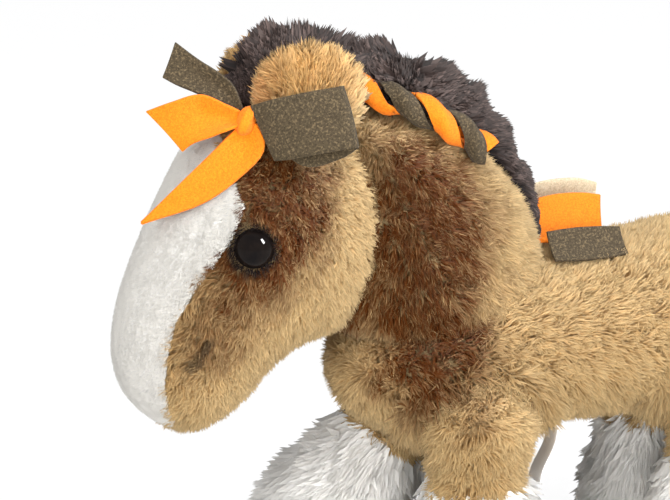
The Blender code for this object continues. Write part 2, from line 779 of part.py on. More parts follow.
def build_mane(neck_room, torso_room, skull_room):
    """The mane's crest, from the top of the neck down its back."""
    frames, rings = [], []
    rows = smooth_rows([(a, t, h, w) for a, t, h, w in MANE_RING_SHARES], (NECK_HEIGHT, 1, MANE_HEIGHT, MANE_WIDTH))
    for height, tilt, rise, width in rows:
        surface, normal = neck_point(height / NECK_HEIGHT, math.pi)
        outward = (normal * (1 - tilt) + Z_AXIS * tilt).normalized()
        frames.append(crest_frame(surface, outward))
        rings.append((rise, MANE_ROOT if rise > 0 else 0, width))
    mane = loft("mane", frames, rings, LEG_SECTORS, "dark_mane")
    for room in (neck_room, torso_room, skull_room):
        combine(mane, room)


def build_garland():
    """Two felt ribbons twisted together, laid on the left of the neck under the mane."""
    steps = GARLAND_STEPS // (len(GARLAND_ROUTE_SHARES) - 1)
    route = smooth_path(GARLAND_ROUTE_SHARES, (1, math.pi), steps)
    seats = [neck_point(height_share, turn) for height_share, turn in route]
    middles = [surface + normal * GARLAND_LIFT for surface, normal in seats]
    for name, slot, phase in (("garland_orange", "orange_felt", 0.0), ("garland_olive", "olive_felt", math.pi)):
        line, radials = [], []
        for k, middle in enumerate(middles):
            ahead = (middles[min(k + 1, len(middles) - 1)] - middles[max(k - 1, 0)]).normalized()
            normal = seats[k][1]
            across = ahead.cross(normal).normalized()
            angle = phase + 2 * math.pi * GARLAND_TURNS * k / (len(middles) - 1)
            radial = normal * math.cos(angle) + across * math.sin(angle)
            line.append(middle + radial * GARLAND_RADIUS)
            radials.append(radial)
        widths = []
        for k, radial in enumerate(radials):
            ahead = line[min(k + 1, len(line) - 1)] - line[max(k - 1, 0)]
            widths.append(ahead.cross(radial).normalized())
        strip(name, line, widths, [GARLAND_RIBBON / 2] * len(line), FELT, slot)


def bow_frame():
    """The bow's knot and the directions across, up and out of its plane."""
    surface, normal = head_point(BOW_KNOT_ALONG, BOW_KNOT_TURN)
    out = BOW_FACE.normalized()
    across = Z_AXIS.cross(out).normalized()
    return surface + normal * (KNOT_DEPTH + KNOT_SEAT), across, out.cross(across), out, normal


def head_cover(knot, across, up, out):
    """The head's surface as places across, up and out of the bow's plane."""
    places = []
    for along in np.linspace(-SKULL_RADIUS, MUZZLE_LENGTH, COVER_STEPS):
        for turn in np.linspace(-math.pi, math.pi, COVER_STEPS):
            offset = head_surface(along, turn) - knot
            places.append((offset.dot(across), offset.dot(up), offset.dot(out)))
    return np.array(places)


def build_bow():
    """Knot, three tails that lie over the forehead, and a loop beside the ear."""
    knot, across, up, out, normal = bow_frame()
    fore = (across - normal * across.dot(normal)).normalized()
    rows = ellipsoid_rows(KNOT_DEPTH, KNOT_WIDTH, KNOT_HEIGHT, 8)
    straight_loft("bow_knot", knot, normal, fore, rows, SMALL_SECTORS, "orange_felt")
    cover = head_cover(knot, across, up, out)
    for name, (slot, layer, lowest, shares) in BOW_TAILS.items():
        rows = smooth_path(shares, (BOW_REACH, BOW_REACH, BOW_REACH), BOW_STEPS // (len(shares) - 1))
        lifts = []
        for p, q, half in rows:
            near = cover[np.hypot(cover[:, 0] - p, cover[:, 1] - q) < half + FELT]
            lifts.append(near[:, 2].max() if len(near) else lifts[-1])
        lifts = [max(max(lifts[max(k - 1, 0):k + 2]) + FELT * (layer + 1), lowest * BOW_REACH)
                 for k in range(len(lifts))]
        middles = [knot + across * p + up * q + out * lift for (p, q, _), lift in zip(rows, lifts)]
        widths = []
        for k in range(len(rows)):
            ahead = rows[min(k + 1, len(rows) - 1)] - rows[max(k - 1, 0)]
            widths.append(across * -ahead[1] + up * ahead[0])
        strip(name, middles, widths, [row[2] for row in rows], FELT, slot)
    path = smooth_path(BOW_LOOP_SHARES, (BOW_REACH, BOW_REACH), FINE_STEPS)
    middles = [knot + across * p + out * lift for p, lift in path]
    strip("bow_loop_olive", middles, [up] * len(path), [RIBBON_WIDTH / 2] * len(path), FELT, "olive_felt")


def build_withers_ribbons():
    """Ribbon ends that lie and stand on the back, behind the mane."""
    for name, (slot, ends, turn, stand, wide) in WITHERS_ENDS.items():
        middles, widths = [], []
        for k in range(WITHERS_STEPS + 1):
            along_share = ends[0] + (ends[1] - ends[0]) * k / WITHERS_STEPS
            surface, normal = torso_point(along_share, turn)
            low, low_normal = torso_point(along_share, turn + math.copysign(math.pi / 200, turn))
            down = (low - surface).normalized()
            width = (down * -math.cos(stand) + normal * math.sin(stand)).normalized()
            sag = (wide / 2 * math.cos(stand)) ** 2 / (2 * TORSO_WIDTH)
            rise = wide / 2 * math.sin(stand) + FELT / 2 * math.cos(stand) + GAP - sag
            middles.append(surface + normal * rise)
            widths.append(width)
        strip(name, middles, widths, [wide / 2] * len(middles), FELT, slot)


def build_legs():
    """Four legs, each turned about the centre of its ball."""
    for name, (centre, turn) in LEGS.items():
        down = Vector((-math.sin(turn), 0, -math.cos(turn)))
        ahead = Vector((-math.cos(turn), 0, math.sin(turn)))
        build_leg(name, centre, down, ahead)


def leg_rows(inset):
    """Rings of the ball and the shank, drawn in by an inset."""
    ball = HIP_RADIUS - inset
    rows = [(-ball, 0, 0, 0, 0)]
    for turn in range(1, BALL_TURNS + 1):
        angle = BALL_END * turn / BALL_TURNS
        reach = ball * math.sin(angle)
        rows.append((-ball * math.cos(angle), 0, reach, reach, reach))
    shank = SHANK_RADIUS - inset
    for share in (0.75, 1.0):
        rows.append((SHANK_END * share, 0, shank, shank, shank))
    return rows


def foot_rows(inset, start, end):
    """Rings of the foot between two distances from the hip, drawn in by an inset."""
    rows = smooth_rows([(a, 0, r, r, r) for a, r in FOOT_RING_SHARES], (1, 1, FOOT_RADIUS, FOOT_RADIUS, FOOT_RADIUS))
    return [(start + row[0] * (end - start), 0) + tuple(row[2:5] - inset) for row in rows]


def build_leg(name, centre, down, ahead):
    """One leg: skin, foot, sole and stuffing."""
    sole_top = HIP_Z - SOLE_THICKNESS
    straight_names = (centre, down, ahead)
    make_skin(straight_loft(name + "_skin", *straight_names, leg_rows(0), LEG_SECTORS, "tan_plush", centre, False))
    make_skin(straight_loft(name + "_foot", *straight_names,
                            foot_rows(0, SHANK_END + SEAM_GAP, sole_top - SEAM_GAP),
                            LEG_SECTORS, "white_plush", centre, False))
    inset = SKIN + SEAM_GAP
    stuffing = leg_rows(inset) + foot_rows(inset, SHANK_END + SEAM_GAP, sole_top - GAP)
    straight_loft(name + "_stuffing", *straight_names, stuffing, LEG_SECTORS, "stuffing", centre)
    edge = SOLE_THICKNESS / 3
    rim = SOLE_RADIUS - edge
    sole = ((sole_top, rim), (sole_top + edge, SOLE_RADIUS), (HIP_Z - edge, SOLE_RADIUS), (HIP_Z, rim))
    rows = [(along, 0, radius, radius, radius) for along, radius in sole]
    straight_loft(name + "_sole", *straight_names, rows, LEG_SECTORS, "sole_suede", centre)


def build_tail():
    """The tail's plume, with its origin in the middle of its round root."""
    surface, normal = torso_point(TAIL_SEAT_SHARE, 0)
    root = surface + normal * (TAIL_ROOT_RADIUS + GAP)
    middles, rings = [], []
    for share in (1.0, 0.8, 0.0):
        middles.append(root - normal * (TAIL_ROOT_RADIUS * share))
        reach = TAIL_ROOT_RADIUS * math.sqrt(1 - share ** 2)
        rings.append((reach, reach, reach))
    for out, down, depth, width in TAIL_RING_SHARES:
        middles.append(root + X_AXIS * (out * TAIL_LENGTH) - Z_AXIS * (down * TAIL_LENGTH))
        rings.append((depth * TAIL_DEPTH, depth * TAIL_DEPTH, width * TAIL_WIDTH))
    frames = []
    for k, middle in enumerate(middles):
        ahead = (middles[min(k + 1, len(middles) - 1)] - middles[max(k - 1, 0)]).normalized()
        frames.append((middle, ahead.cross(Y_AXIS), -Y_AXIS))
    loft("tail", frames, rings, SMALL_SECTORS, "dark_mane", root)


def build_label():
    """The care label, with its origin on the seam it hangs from."""
    rows = torso_rows()
    centre, below, across = (np.interp(LABEL_X - TORSO_FRONT, rows[:, 0], rows[:, c]) for c in (1, 3, 4))
    drop = below * math.sqrt(1 - ((LABEL_SIDE - LABEL_WIDTH / 2) / across) ** 2)
    top = Vector((LABEL_X, -LABEL_SIDE, TORSO_CENTRE_Z + centre - drop - LABEL_SEAT))
    lean = Vector((-math.sin(LABEL_LEAN), 0, -math.cos(LABEL_LEAN)))
    middles = [top + lean * (LABEL_LENGTH * k / LABEL_STEPS) for k in range(LABEL_STEPS + 1)]
    count = LABEL_STEPS + 1
    strip("care_label", middles, [Y_AXIS] * count, [LABEL_WIDTH / 2] * count, LABEL_THICKNESS, "label_satin", top)


def main():
    """Make every piece of the horse."""
    clear_scene()
    build_torso()
    skull_room, torso_room, neck_room, head_room = clearances()
    build_neck(skull_room, torso_room)
    build_head()
    build_ears()
    build_forelock(head_room)
    build_mane(neck_room, torso_room, skull_room)
    build_garland()
    build_bow()
    build_withers_ribbons()
    build_legs()
    build_tail()
    build_label()


main()
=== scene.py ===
"""Plush horse: fur, felt ribbons, eyes and stage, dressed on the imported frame.

The horse faces -X, its left side is -Y and +Z is up; lengths are in metres.
"""
import json
import math

import bpy
import numpy as np
from mathutils import Matrix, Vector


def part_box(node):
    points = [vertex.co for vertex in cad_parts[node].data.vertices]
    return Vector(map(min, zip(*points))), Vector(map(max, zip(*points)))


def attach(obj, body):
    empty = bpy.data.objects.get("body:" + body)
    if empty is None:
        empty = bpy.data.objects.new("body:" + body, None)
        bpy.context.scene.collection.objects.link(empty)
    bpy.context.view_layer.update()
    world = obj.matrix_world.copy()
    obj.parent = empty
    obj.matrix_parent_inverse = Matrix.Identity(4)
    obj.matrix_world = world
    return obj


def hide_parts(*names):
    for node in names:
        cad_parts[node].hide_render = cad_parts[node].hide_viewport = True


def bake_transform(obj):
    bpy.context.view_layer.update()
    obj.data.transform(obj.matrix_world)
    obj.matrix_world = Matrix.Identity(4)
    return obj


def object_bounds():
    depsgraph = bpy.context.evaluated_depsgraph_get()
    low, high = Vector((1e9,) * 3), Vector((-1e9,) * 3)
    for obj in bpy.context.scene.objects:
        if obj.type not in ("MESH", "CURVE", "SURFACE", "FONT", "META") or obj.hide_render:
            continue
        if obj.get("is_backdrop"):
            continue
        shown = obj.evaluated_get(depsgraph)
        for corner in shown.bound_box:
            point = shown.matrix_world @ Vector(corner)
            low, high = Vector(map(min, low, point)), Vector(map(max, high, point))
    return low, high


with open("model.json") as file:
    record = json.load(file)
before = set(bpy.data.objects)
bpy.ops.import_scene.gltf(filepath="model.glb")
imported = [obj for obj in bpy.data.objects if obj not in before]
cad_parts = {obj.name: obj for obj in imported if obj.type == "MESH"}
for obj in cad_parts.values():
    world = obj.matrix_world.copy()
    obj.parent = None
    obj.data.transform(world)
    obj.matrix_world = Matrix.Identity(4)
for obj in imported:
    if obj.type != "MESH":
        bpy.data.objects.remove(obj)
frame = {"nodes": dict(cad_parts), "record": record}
CAD_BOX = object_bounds()

bl_info = {
    "name": "Plush Horse",
    "version": (1, 0, 0),
    "blender": (4, 5, 0),
    "location": "View3D > Sidebar > Plush Horse",
    "description": "Builds a plush horse with fur of real strands and felt ribbons",
    "category": "Object",
}

# Where the horse's own zero, between its forelegs, stands in the frame
STAND = np.array([-0.0165, 0.0, 0.0])
X, Y, Z = np.eye(3)

# Torso: shares of its length, then centre, up, down (of its height) and side (of its width)
TORSO_START = (-0.046, 0.0, 0.095)
TORSO_SIZES = (0.179, 0.0325, 0.0325, 0.0325, 0.0375)
TORSO_RINGS = (
    (0.000, -0.14, 0.00, 0.00, 0.00),
    (0.012, -0.14, 0.28, 0.28, 0.27),
    (0.045, -0.12, 0.55, 0.55, 0.54),
    (0.110, -0.06, 0.82, 0.82, 0.80),
    (0.210, -0.02, 0.97, 0.97, 0.95),
    (0.340, 0.00, 1.00, 1.00, 1.00),
    (0.510, 0.00, 0.99, 0.99, 1.01),
    (0.680, 0.04, 1.03, 1.03, 1.04),
    (0.810, 0.08, 1.06, 1.06, 1.04),
    (0.910, 0.09, 0.88, 0.88, 0.86),
    (0.970, 0.09, 0.56, 0.56, 0.55),
    (0.993, 0.09, 0.27, 0.27, 0.27),
    (1.000, 0.09, 0.00, 0.00, 0.00),
)
# Neck: shares of its height, then centre, front, back (of its depth) and side (of its width)
NECK_START = (-0.010, 0.0, 0.098)
NECK_SIZES = (0.0885, 0.042, 0.042, 0.042, 0.0335)
NECK_RINGS = (
    (0.000, -0.08, 0.00, 0.00, 0.00),
    (0.020, -0.08, 0.52, 0.52, 0.55),
    (0.090, -0.07, 0.90, 0.90, 0.90),
    (0.200, -0.05, 0.99, 0.99, 0.99),
    (0.360, -0.04, 0.99, 0.99, 0.97),
    (0.530, 0.02, 0.92, 0.92, 0.93),
    (0.645, 0.09, 0.84, 0.84, 0.87),
    (0.770, 0.23, 0.75, 0.75, 0.78),
    (0.900, 0.40, 0.60, 0.60, 0.62),
    (0.965, 0.50, 0.38, 0.38, 0.40),
    (0.992, 0.55, 0.17, 0.17, 0.18),
    (1.000, 0.56, 0.00, 0.00, 0.00),
)
# Head: shares of the skull's radius above the nod axis and of the muzzle's length below it, then
# front, back (of the skull's radius) and side
NOD = np.array([-0.075, 0.0, 0.146])
SKULL_RADIUS, SKULL_WIDTH, MUZZLE_LENGTH = 0.050, 0.034, 0.077
FACE_TILT = math.radians(27.0)
FACE_DOWN = np.array([-math.sin(FACE_TILT), 0, -math.cos(FACE_TILT)])
FACE_OUT = np.array([-math.cos(FACE_TILT), 0, math.sin(FACE_TILT)])
SKULL_END_SHARE = 0.24
FACE_RINGS = (
    (-1.000, 0.00, 0.00, 0.00),
    (-0.963, 0.24, 0.27, 0.27),
    (-0.855, 0.44, 0.52, 0.52),
    (-0.662, 0.60, 0.75, 0.75),
    (-0.308, 0.69, 0.95, 0.95),
    (0.060, 0.71, 1.00, 1.00),
    (0.240, 0.71, 0.93, 0.93),
    (0.400, 0.70, 0.67, 0.87),
    (0.560, 0.67, 0.52, 0.80),
    (0.700, 0.61, 0.46, 0.74),
    (0.820, 0.52, 0.37, 0.68),
    (0.920, 0.38, 0.27, 0.53),
    (0.980, 0.20, 0.14, 0.29),
    (1.000, 0.00, 0.00, 0.00),
)
# White blaze: distance from the nod axis towards the muzzle, and half-angle round the face
BLAZE_EDGE = ((-0.030, 0.0), (-0.024, 22.0), (-0.017, 39.0), (-0.007, 57.0), (0.007, 58.0), (0.024, 53.0),
              (0.042, 51.0), (0.052, 54.0), (0.062, 57.0), (0.070, 67.0), (0.0755, 90.0), (0.080, 95.0))
BLAZE_CLOTH_HALF, BLAZE_LEAST_TURN = 0.0010, 0.02

# Eyes: place on the face, dome, and then its rim and stalk as height and radius
EYE_ALONG, EYE_TURN, EYE_SINK = 0.005, math.radians(73.0), 0.0032
EYE_HEIGHT, EYE_RADIUS = 0.0062, 0.0070
EYE_RIM = ((-0.0006, 0.0069), (-0.0012, 0.0060), (-0.0012, 0.0018), (-0.0064, 0.0018), (-0.0066, 0.0))
# Round an eye: where tan and white fur start, and where the dark ring starts to fade and ends
EYE_TAN_FROM, EYE_WHITE_FROM = 0.0066, 0.0072
EYE_RING_FADE, EYE_RING_END = 0.0080, 0.0108
# The painted shade of the short crease beside the nostril: its place on the face, half-length and bend
NOSTRIL_ALONG, NOSTRIL_OUT, NOSTRIL_HALF, NOSTRIL_BEND = 0.0465, 0.0085, 0.0060, 22

# Legs: distance along the leg from the hip, and radius
LEG_RINGS = (
    (-0.022, 0.0), (-0.0205, 0.0080), (-0.0156, 0.0155), (-0.0078, 0.0206), (0.0, 0.0220), (0.0080, 0.0205),
    (0.0150, 0.0184), (0.0230, 0.0177), (0.0330, 0.0196), (0.0440, 0.0222), (0.0560, 0.0242),
    (0.0650, 0.0243), (0.0680, 0.0215), (0.0684, 0.0),
)
SHANK_END, HIP_Z, HIP_SIDE, FOOT_END = 0.023, 0.072, 0.0265, 0.069
SOLE_RADIUS = 0.024
# The far foreleg steps until its heel touches the floor
STEP_ANGLE = 2 * math.atan(SOLE_RADIUS / HIP_Z)
HIND_X = 0.097
LEGS = {
    "foreleg_left": (0.0, -1, 0.0),
    "foreleg_right": (0.0, 1, STEP_ANGLE),
    "hindleg_left": (HIND_X, -1, 0.0),
    "hindleg_right": (HIND_X, 1, 0.0),
}

# Ears: length, half-width and half-thickness, the ways that they stand and face, then the hide
# under the pile as shares of the length on either side, the thickness and the width
EAR_LENGTH, EAR_WIDTH, EAR_THICKNESS = 0.0345, 0.0205, 0.0045
EAR_LEAN, EAR_FACE = (0.03, 0.32, 0.94), (-0.30, -0.95, 0.0)
EAR_HIDE_LENGTHS, EAR_HIDE_THICK, EAR_HIDE_WIDE = {-1: 0.83, 1: 0.74}, 0.55, 0.78
# The shortest and longest hair, the colour towards the middle, and the painted shade towards one edge of the
# ear's front
EAR_PILE = (0.0050, 0.0086)
EAR_MIDDLE, EAR_EDGE_SHADE = (204, 152, 78), (176, 108, 60)
# Share of the length, then half-width and half-thickness
EAR_RINGS = (
    (0.00, 0.00, 0.00), (0.03, 0.30, 0.60), (0.12, 0.58, 1.00), (0.26, 0.92, 1.00), (0.48, 1.00, 0.95),
    (0.70, 0.93, 0.88), (0.88, 0.68, 0.70), (0.97, 0.34, 0.38), (1.00, 0.00, 0.00),
)

# Mane: most height and half-width, and the share of that width in which its roots lie
MANE_HEIGHT, MANE_WIDTH, MANE_ROOTS_WIDE = 0.026, 0.0115, 0.62
# Share of the neck's height, tilt towards upright, height and half-width
MANE_RINGS = (
    (0.9995, 1.00, 0.00, 0.00),
    (0.996, 0.95, 0.68, 0.60),
    (0.980, 0.80, 0.86, 0.95),
    (0.940, 0.55, 0.70, 1.00),
    (0.880, 0.25, 0.60, 1.00),
    (0.790, 0.05, 0.47, 0.95),
    (0.680, 0.00, 0.32, 0.85),
    (0.560, 0.00, 0.20, 0.70),
    (0.440, 0.00, 0.10, 0.50),
    (0.380, 0.00, 0.00, 0.00),
)
# Shares of that table for the two points given with the mane's bodies, the torso and the head
MANE_BLEND = (0.0, 0.40)
# Forelock: the degrees over the skull from the front that its hair and its hide cover, and then
# at such degrees how far the hair combs forward and its length
FORELOCK_SPAN, FORELOCK_HIDE_SPAN, FORELOCK_RADIUS = (63, 99), (99, 78), 0.0475
FORELOCK_COMB = ((63, -0.75), (72, 0), (86, 0.35), (99, 0.6))
FORELOCK_LENGTHS = ((63, 0.038), (76, 0.038), (82, 0.031), (88, 0.015), (99, 0.010))
# Tail: how far out and down from its root each ring lies, and its half-depth and half-width
TAIL_ROOT = np.array([0.12043, 0.0, 0.11433]) - STAND
TAIL_RINGS = (
    (-0.0045, 0.0040, 0.0035, 0.0035), (0.0000, 0.0000, 0.0060, 0.0060), (0.0059, -0.0010, 0.0054, 0.0070),
    (0.0108, 0.0044, 0.0060, 0.0078), (0.0132, 0.0147, 0.0074, 0.0095), (0.0137, 0.0314, 0.0095, 0.0126),
    (0.0134, 0.0510, 0.0100, 0.0140), (0.0127, 0.0725, 0.0088, 0.0126), (0.0120, 0.0892, 0.0054, 0.0077),
    (0.0116, 0.0975, 0.0012, 0.0015),
)

# The photograph: the way the camera looks, the place it looks at and the width seen there
LOOK = np.array([0.362, 0.896, -0.259])
LOOK_AT = np.array([-0.0605, 0, 0.134])
PHOTO_WIDTH, SENSOR_WIDTH = 0.238, 36
TO_CAMERA = -LOOK / np.linalg.norm(LOOK)

# Bow: its plane faces the camera; places on it are across, up and out
BOW_OUT = TO_CAMERA
BOW_ACROSS = np.cross(Z, BOW_OUT) / np.linalg.norm(np.cross(Z, BOW_OUT))
BOW_UP = np.cross(BOW_OUT, BOW_ACROSS)
# The knot: its move from the CAD knot's middle, then half-width, half-depth, half-height and how
# far it stands out
KNOT_ACROSS, KNOT_UP = 0.0026, 0.0010
KNOT_WIDE, KNOT_DEEP, KNOT_HIGH, KNOT_OUT = 0.0033, 0.0046, 0.0052, 0.0012
# Each ribbon of the bow: felt, node, how it is held, its two edges from the knot outwards in
# millimetres (across, up, out), and how deep it sags between them from start to end
BOW_RIBBONS = {
    "bow_tail_high": ("orange", "bow_tail_upper", "draped", (
        (-1.5, 3.0, 2.0), (-7, 5.4, 2.6), (-16, 8.8, 2.0), (-26, 6.2, 1.0), (-34.6, 3.4, -3.0)), (
        (-1.5, -1.6, 3.4), (-7, -3.4, 4.2), (-12.5, -5.6, 2.6), (-18.5, -7.8, -0.5), (-22, -10.4, -3.6)),
        (1.2, 3.2, 3.4, 2.0, 0.4)),
    "bow_tail_long": ("orange", "bow_tail_lower", "draped", (
        (-2.6, -1.5, 1.8), (-7, -6.0, 2.0), (-12.5, -11.6, 1.4), (-24, -22.5, -1.6), (-36.6, -34.6, -6.6)), (
        (3.4, -1.0, 3.2), (6.0, -7.6, 4.6), (2.6, -14.8, 3.6), (-14, -27.6, 0.2), (-36.4, -35.2, -6.6)),
        (0.8, 2.4, 2.2, 1.2, 0.2)),
    "bow_tail_dark": ("olive", "bow_tail_olive", "draped", (
        (-1.0, 3.5, -1.0), (-4.6, 12.0, -1.5), (-10, 16.8, -2.2), (-17, 21.4, -3.0), (-24.6, 27.2, -4.0)), (
        (-4.4, 1.5, -1.0), (-11, 6.6, -1.5), (-18, 10.0, -2.2), (-24, 12.4, -3.0), (-29.0, 15.0, -4.0)),
        (0.6, 1.6, 2.0, 1.4, 0.6)),
    "bow_loop": ("olive", "bow_loop_olive", "folded", (
        (1.4, 5.0, 4.2), (9, 7.0, 8.2), (20, 9.2, 11.0), (29.5, 10.8, 12.0), (32.2, 11.3, 11.2),
        (32.4, 11.2, 9.6), (29, 9.6, 8.4), (18, 5.0, 6.6), (6, 2.0, 2.4)), (
        (9.6, -13.8, 5.0), (15, -13.4, 8.0), (24, -11.8, 11.0), (34.5, -10.0, 12.0), (37.4, -9.6, 11.2),
        (37.4, -10.0, 9.6), (32, -13.2, 8.4), (20, -15.8, 6.4), (8, -7.0, 2.4)), (0.2, 0.6, 0.6, 0.2, 0.2)),
}

# Garland: its route as shares of the neck's height and of half a turn round it, then how far it
# lies off the neck, how far each end is raised, and the two ribbons' twist
GARLAND_ROUTE = ((0.985, 0.36), (0.965, 0.52), (0.930, 0.615), (0.885, 0.675), (0.825, 0.73), (0.770, 0.76))
GARLAND_LIFT, GARLAND_RISE = 0.0038, (0.0050, 0.0015)
GARLAND_TWIST_RADIUS, GARLAND_HALF, GARLAND_SAG, GARLAND_TURNS = 0.0021, 0.0036, 0.0034, 2
# Withers ribbons: node, felt, then their low and high edges as shares of the node's box
WITHERS = {
    "withers_bright": ("withers_ribbon_orange", "orange", (
        (0.02, 0.15, 0.10), (0.35, 0.10, 0.06), (0.70, 0.10, 0.04), (0.98, 0.15, 0.08)), (
        (0.02, 0.80, 0.92), (0.35, 0.85, 0.97), (0.70, 0.85, 0.95), (0.98, 0.80, 0.88))),
    "withers_dark": ("withers_ribbon_olive", "olive", (
        (0.02, 0.10, 0.12), (0.35, 0.08, 0.06), (0.70, 0.08, 0.05), (0.98, 0.10, 0.10)), (
        (0.02, 0.88, 0.94), (0.35, 0.92, 0.97), (0.70, 0.90, 0.94), (0.98, 0.88, 0.86))),
    "withers_far": ("withers_ribbon_back", "pale", (
        (0.02, 0.85, 0.10), (0.35, 0.88, 0.05), (0.70, 0.88, 0.05), (0.98, 0.85, 0.10)), (
        (0.02, 0.20, 0.93), (0.35, 0.15, 0.97), (0.70, 0.15, 0.95), (0.98, 0.20, 0.85))),
}

# Care label: half its width, and how far its curl waves
LABEL_HALF, LABEL_WAVE = 0.00515, 0.0010

# Fur: the areas in square metres that strands are counted for, and the most strands in one piece
TORSO_AREA, NECK_AREA, HEAD_AREA, LEG_AREA, EAR_AREA = 0.0385, 0.0215, 0.0262, 0.0092, 0.0030
SQUARE_MM_IN_M2 = 1e6
BAND_STRANDS = 49000
MANE_STRANDS, FORELOCK_STRANDS, TAIL_STRANDS = 45000, 22000, 16000
# Share of the pile's length by which roots and hide lie under the form's surface
SUNK_SHARE = 0.70
# How much of each primary is left at a strand's root, where light has passed through the pile
DEEP = np.array([0.66, 0.47, 0.28])
# Brown shade: middle, radii and strength of each patch, on the head along and out of the face from
# the nod axis, on the body along X and Z
HEAD_PATCHES = ((-0.006, 0.010, 0.044, 0.029, 1.30), (0.034, 0.008, 0.026, 0.022, 0.56))
BODY_PATCHES = ((-0.022, 0.146, 0.036, 0.054, 1.10), (-0.024, 0.106, 0.032, 0.034, 1.25))
# The heights that the painted shade in the crease under the jaw and the long pile at the legs stay below, and
# the least height of a hide over the floor
JAW_TOP, LEG_CREASE_TOP = 0.165, 0.098
LEAST_HIDE_Z = 0.0006

# Stage: how far the floor runs each way, the backdrop's bend and its height
FLOOR_REACH, WALL_BEND, WALL_TOP = 6.0, 0.8, 5.0
# Lamps: place, target, width and height, and watts
LAMPS = {
    "overhead": ((-0.25, -0.35, 1.05), (-0.03, 0, 0.10), (1.1, 0.8), 7.0),
    "front_left": ((-0.95, -0.75, 0.55), (-0.06, 0, 0.12), (0.7, 0.7), 5.4),
    "right_box": ((0.553, -0.72, 0.896), (-0.10, -0.03, 0.16), (0.15, 0.20), 8.5),
    "low_left": ((-0.05, -1.10, 0.22), (0, 0, 0.08), (1.0, 0.4), 6.4),
    "eye_glint": ((0.543, -0.71, 0.886), (-0.10, -0.03, 0.16), (0.26, 0.50), 90.0),
}


def unit(v):
    """Each row divided by its length."""
    return v / np.maximum(np.linalg.norm(v, axis=-1, keepdims=True), 1e-12)


def curve(rows, s, closed_start=False, closed_end=False):
    """Catmull-Rom curve through table rows at s from 0 to 1.

    Each piece is the cubic whose slope at a row is half the step between the row's neighbours.
    A closed end mirrors its last radii past the end, so the curve meets the axis squarely.
    """
    rows = np.asarray(rows, float)
    radii = min(3, rows.shape[1] - 1)
    flip = np.ones(rows.shape[1])
    flip[-radii:] = -1
    first = rows[1] * flip if closed_start else 2 * rows[0] - rows[1]
    last = rows[-2] * flip if closed_end else 2 * rows[-1] - rows[-2]
    guided = np.vstack([first, rows, last])
    place = np.clip(s, 0, 1) * (len(rows) - 1)
    k = np.minimum(place.astype(int), len(rows) - 2)
    t = (place - k)[..., None]
    p, q, r, w = guided[k], guided[k + 1], guided[k + 2], guided[k + 3]
    return (2 * q + (r - p) * t + (2 * p - 5 * q + 4 * r - w) * t**2 + (3 * q - p - 3 * r + w) * t**3) / 2


class Form:
    """A padded form: rings along a straight axis, each with a shift and fore, aft and side radii.

    A point at share s and angle a is the ring's middle plus fore times the fore or aft radius times
    the cosine of a, plus side times the side radius times the sine of a.
    """

    def __init__(self, start, axis, fore, rows):
        self.start = np.array(start, float)
        self.axis, self.fore = np.array(axis, float), np.array(fore, float)
        self.side = np.cross(self.axis, self.fore)
        self.rows = np.array(rows, float)
        self.closed = not self.rows[0, 2:].any(), not self.rows[-1, 2:].any()

    def at(self, s, a):
        """Points of the surface, in the row frame."""
        row = curve(self.rows, s, *self.closed)
        radii = np.maximum(row[..., 2:], 0)
        cosine, sine = np.cos(a), np.sin(a)
        reach = np.where(cosine > 0, radii[..., 0], radii[..., 1]) * cosine + row[..., 1]
        across = radii[..., 2] * sine
        return (self.start + STAND + row[..., :1] * self.axis + reach[..., None] * self.fore
                + across[..., None] * self.side)

    def slopes(self, s, a):
        """The surface's slopes along and round, by small steps either way."""
        ds, da = 1e-3, 1e-3
        low, high = np.maximum(s - ds, 0), np.minimum(s + ds, 1)
        along = (self.at(high, a) - self.at(low, a)) / (high - low)[..., None]
        return along, (self.at(s, a + da) - self.at(s, a - da)) / (2 * da)

    def normal(self, s, a):
        """Outward unit normals: the slope round crossed with the slope along."""
        along, around = self.slopes(s, a)
        out = np.cross(along, around)
        centre = self.at(s, a) - self.at(s, a + np.pi)
        return unit(out) * np.sign((out * centre).sum(-1, keepdims=True) + 1e-15)

    def depth(self, points):
        """How far inside each point is: 1 on the axis, 0 on the surface, negative outside."""
        local = points - self.start - STAND
        along = local @ self.axis
        dense = curve(self.rows, np.linspace(0, 1, 400), *self.closed)
        order = np.argsort(dense[:, 0])
        shift, ahead, behind, across = (np.interp(along, dense[order, 0], dense[order, k], left=0, right=0)
                                        for k in (1, 2, 3, 4))
        fore = local @ self.fore - shift
        reach = np.maximum(np.where(fore > 0, ahead, behind), 1e-5)
        return 1 - np.hypot(fore / reach, (local @ self.side) / np.maximum(across, 1e-5))

    def grid(self, along, around, inset=0.0):
        """Points on a grid, drawn in along the normals by an inset; the poles are one point each."""
        s = np.linspace(0, 1, along)
        a = np.linspace(0, 2 * np.pi, around, endpoint=False)
        s, a = np.meshgrid(s, a, indexing="ij")
        inner = np.clip(s, 0.004, 0.996)
        return self.at(s, a) - self.normal(inner, a) * inset

    def scatter(self, count, rng):
        """Places spread evenly over the area: tries are kept as often as their patch is large."""
        s, a = rng.random(count * 6), rng.random(count * 6) * 2 * np.pi
        along, around = self.slopes(s, a)
        area = np.linalg.norm(np.cross(along, around), axis=1)
        keep = rng.random(len(s)) * np.quantile(area, 0.995) < area
        s, a = s[keep][:count], a[keep][:count]
        return s, a


def sized(rings, sizes):
    """Rows of a table of shares, each column times its size."""
    return np.array(rings) * np.array(sizes)


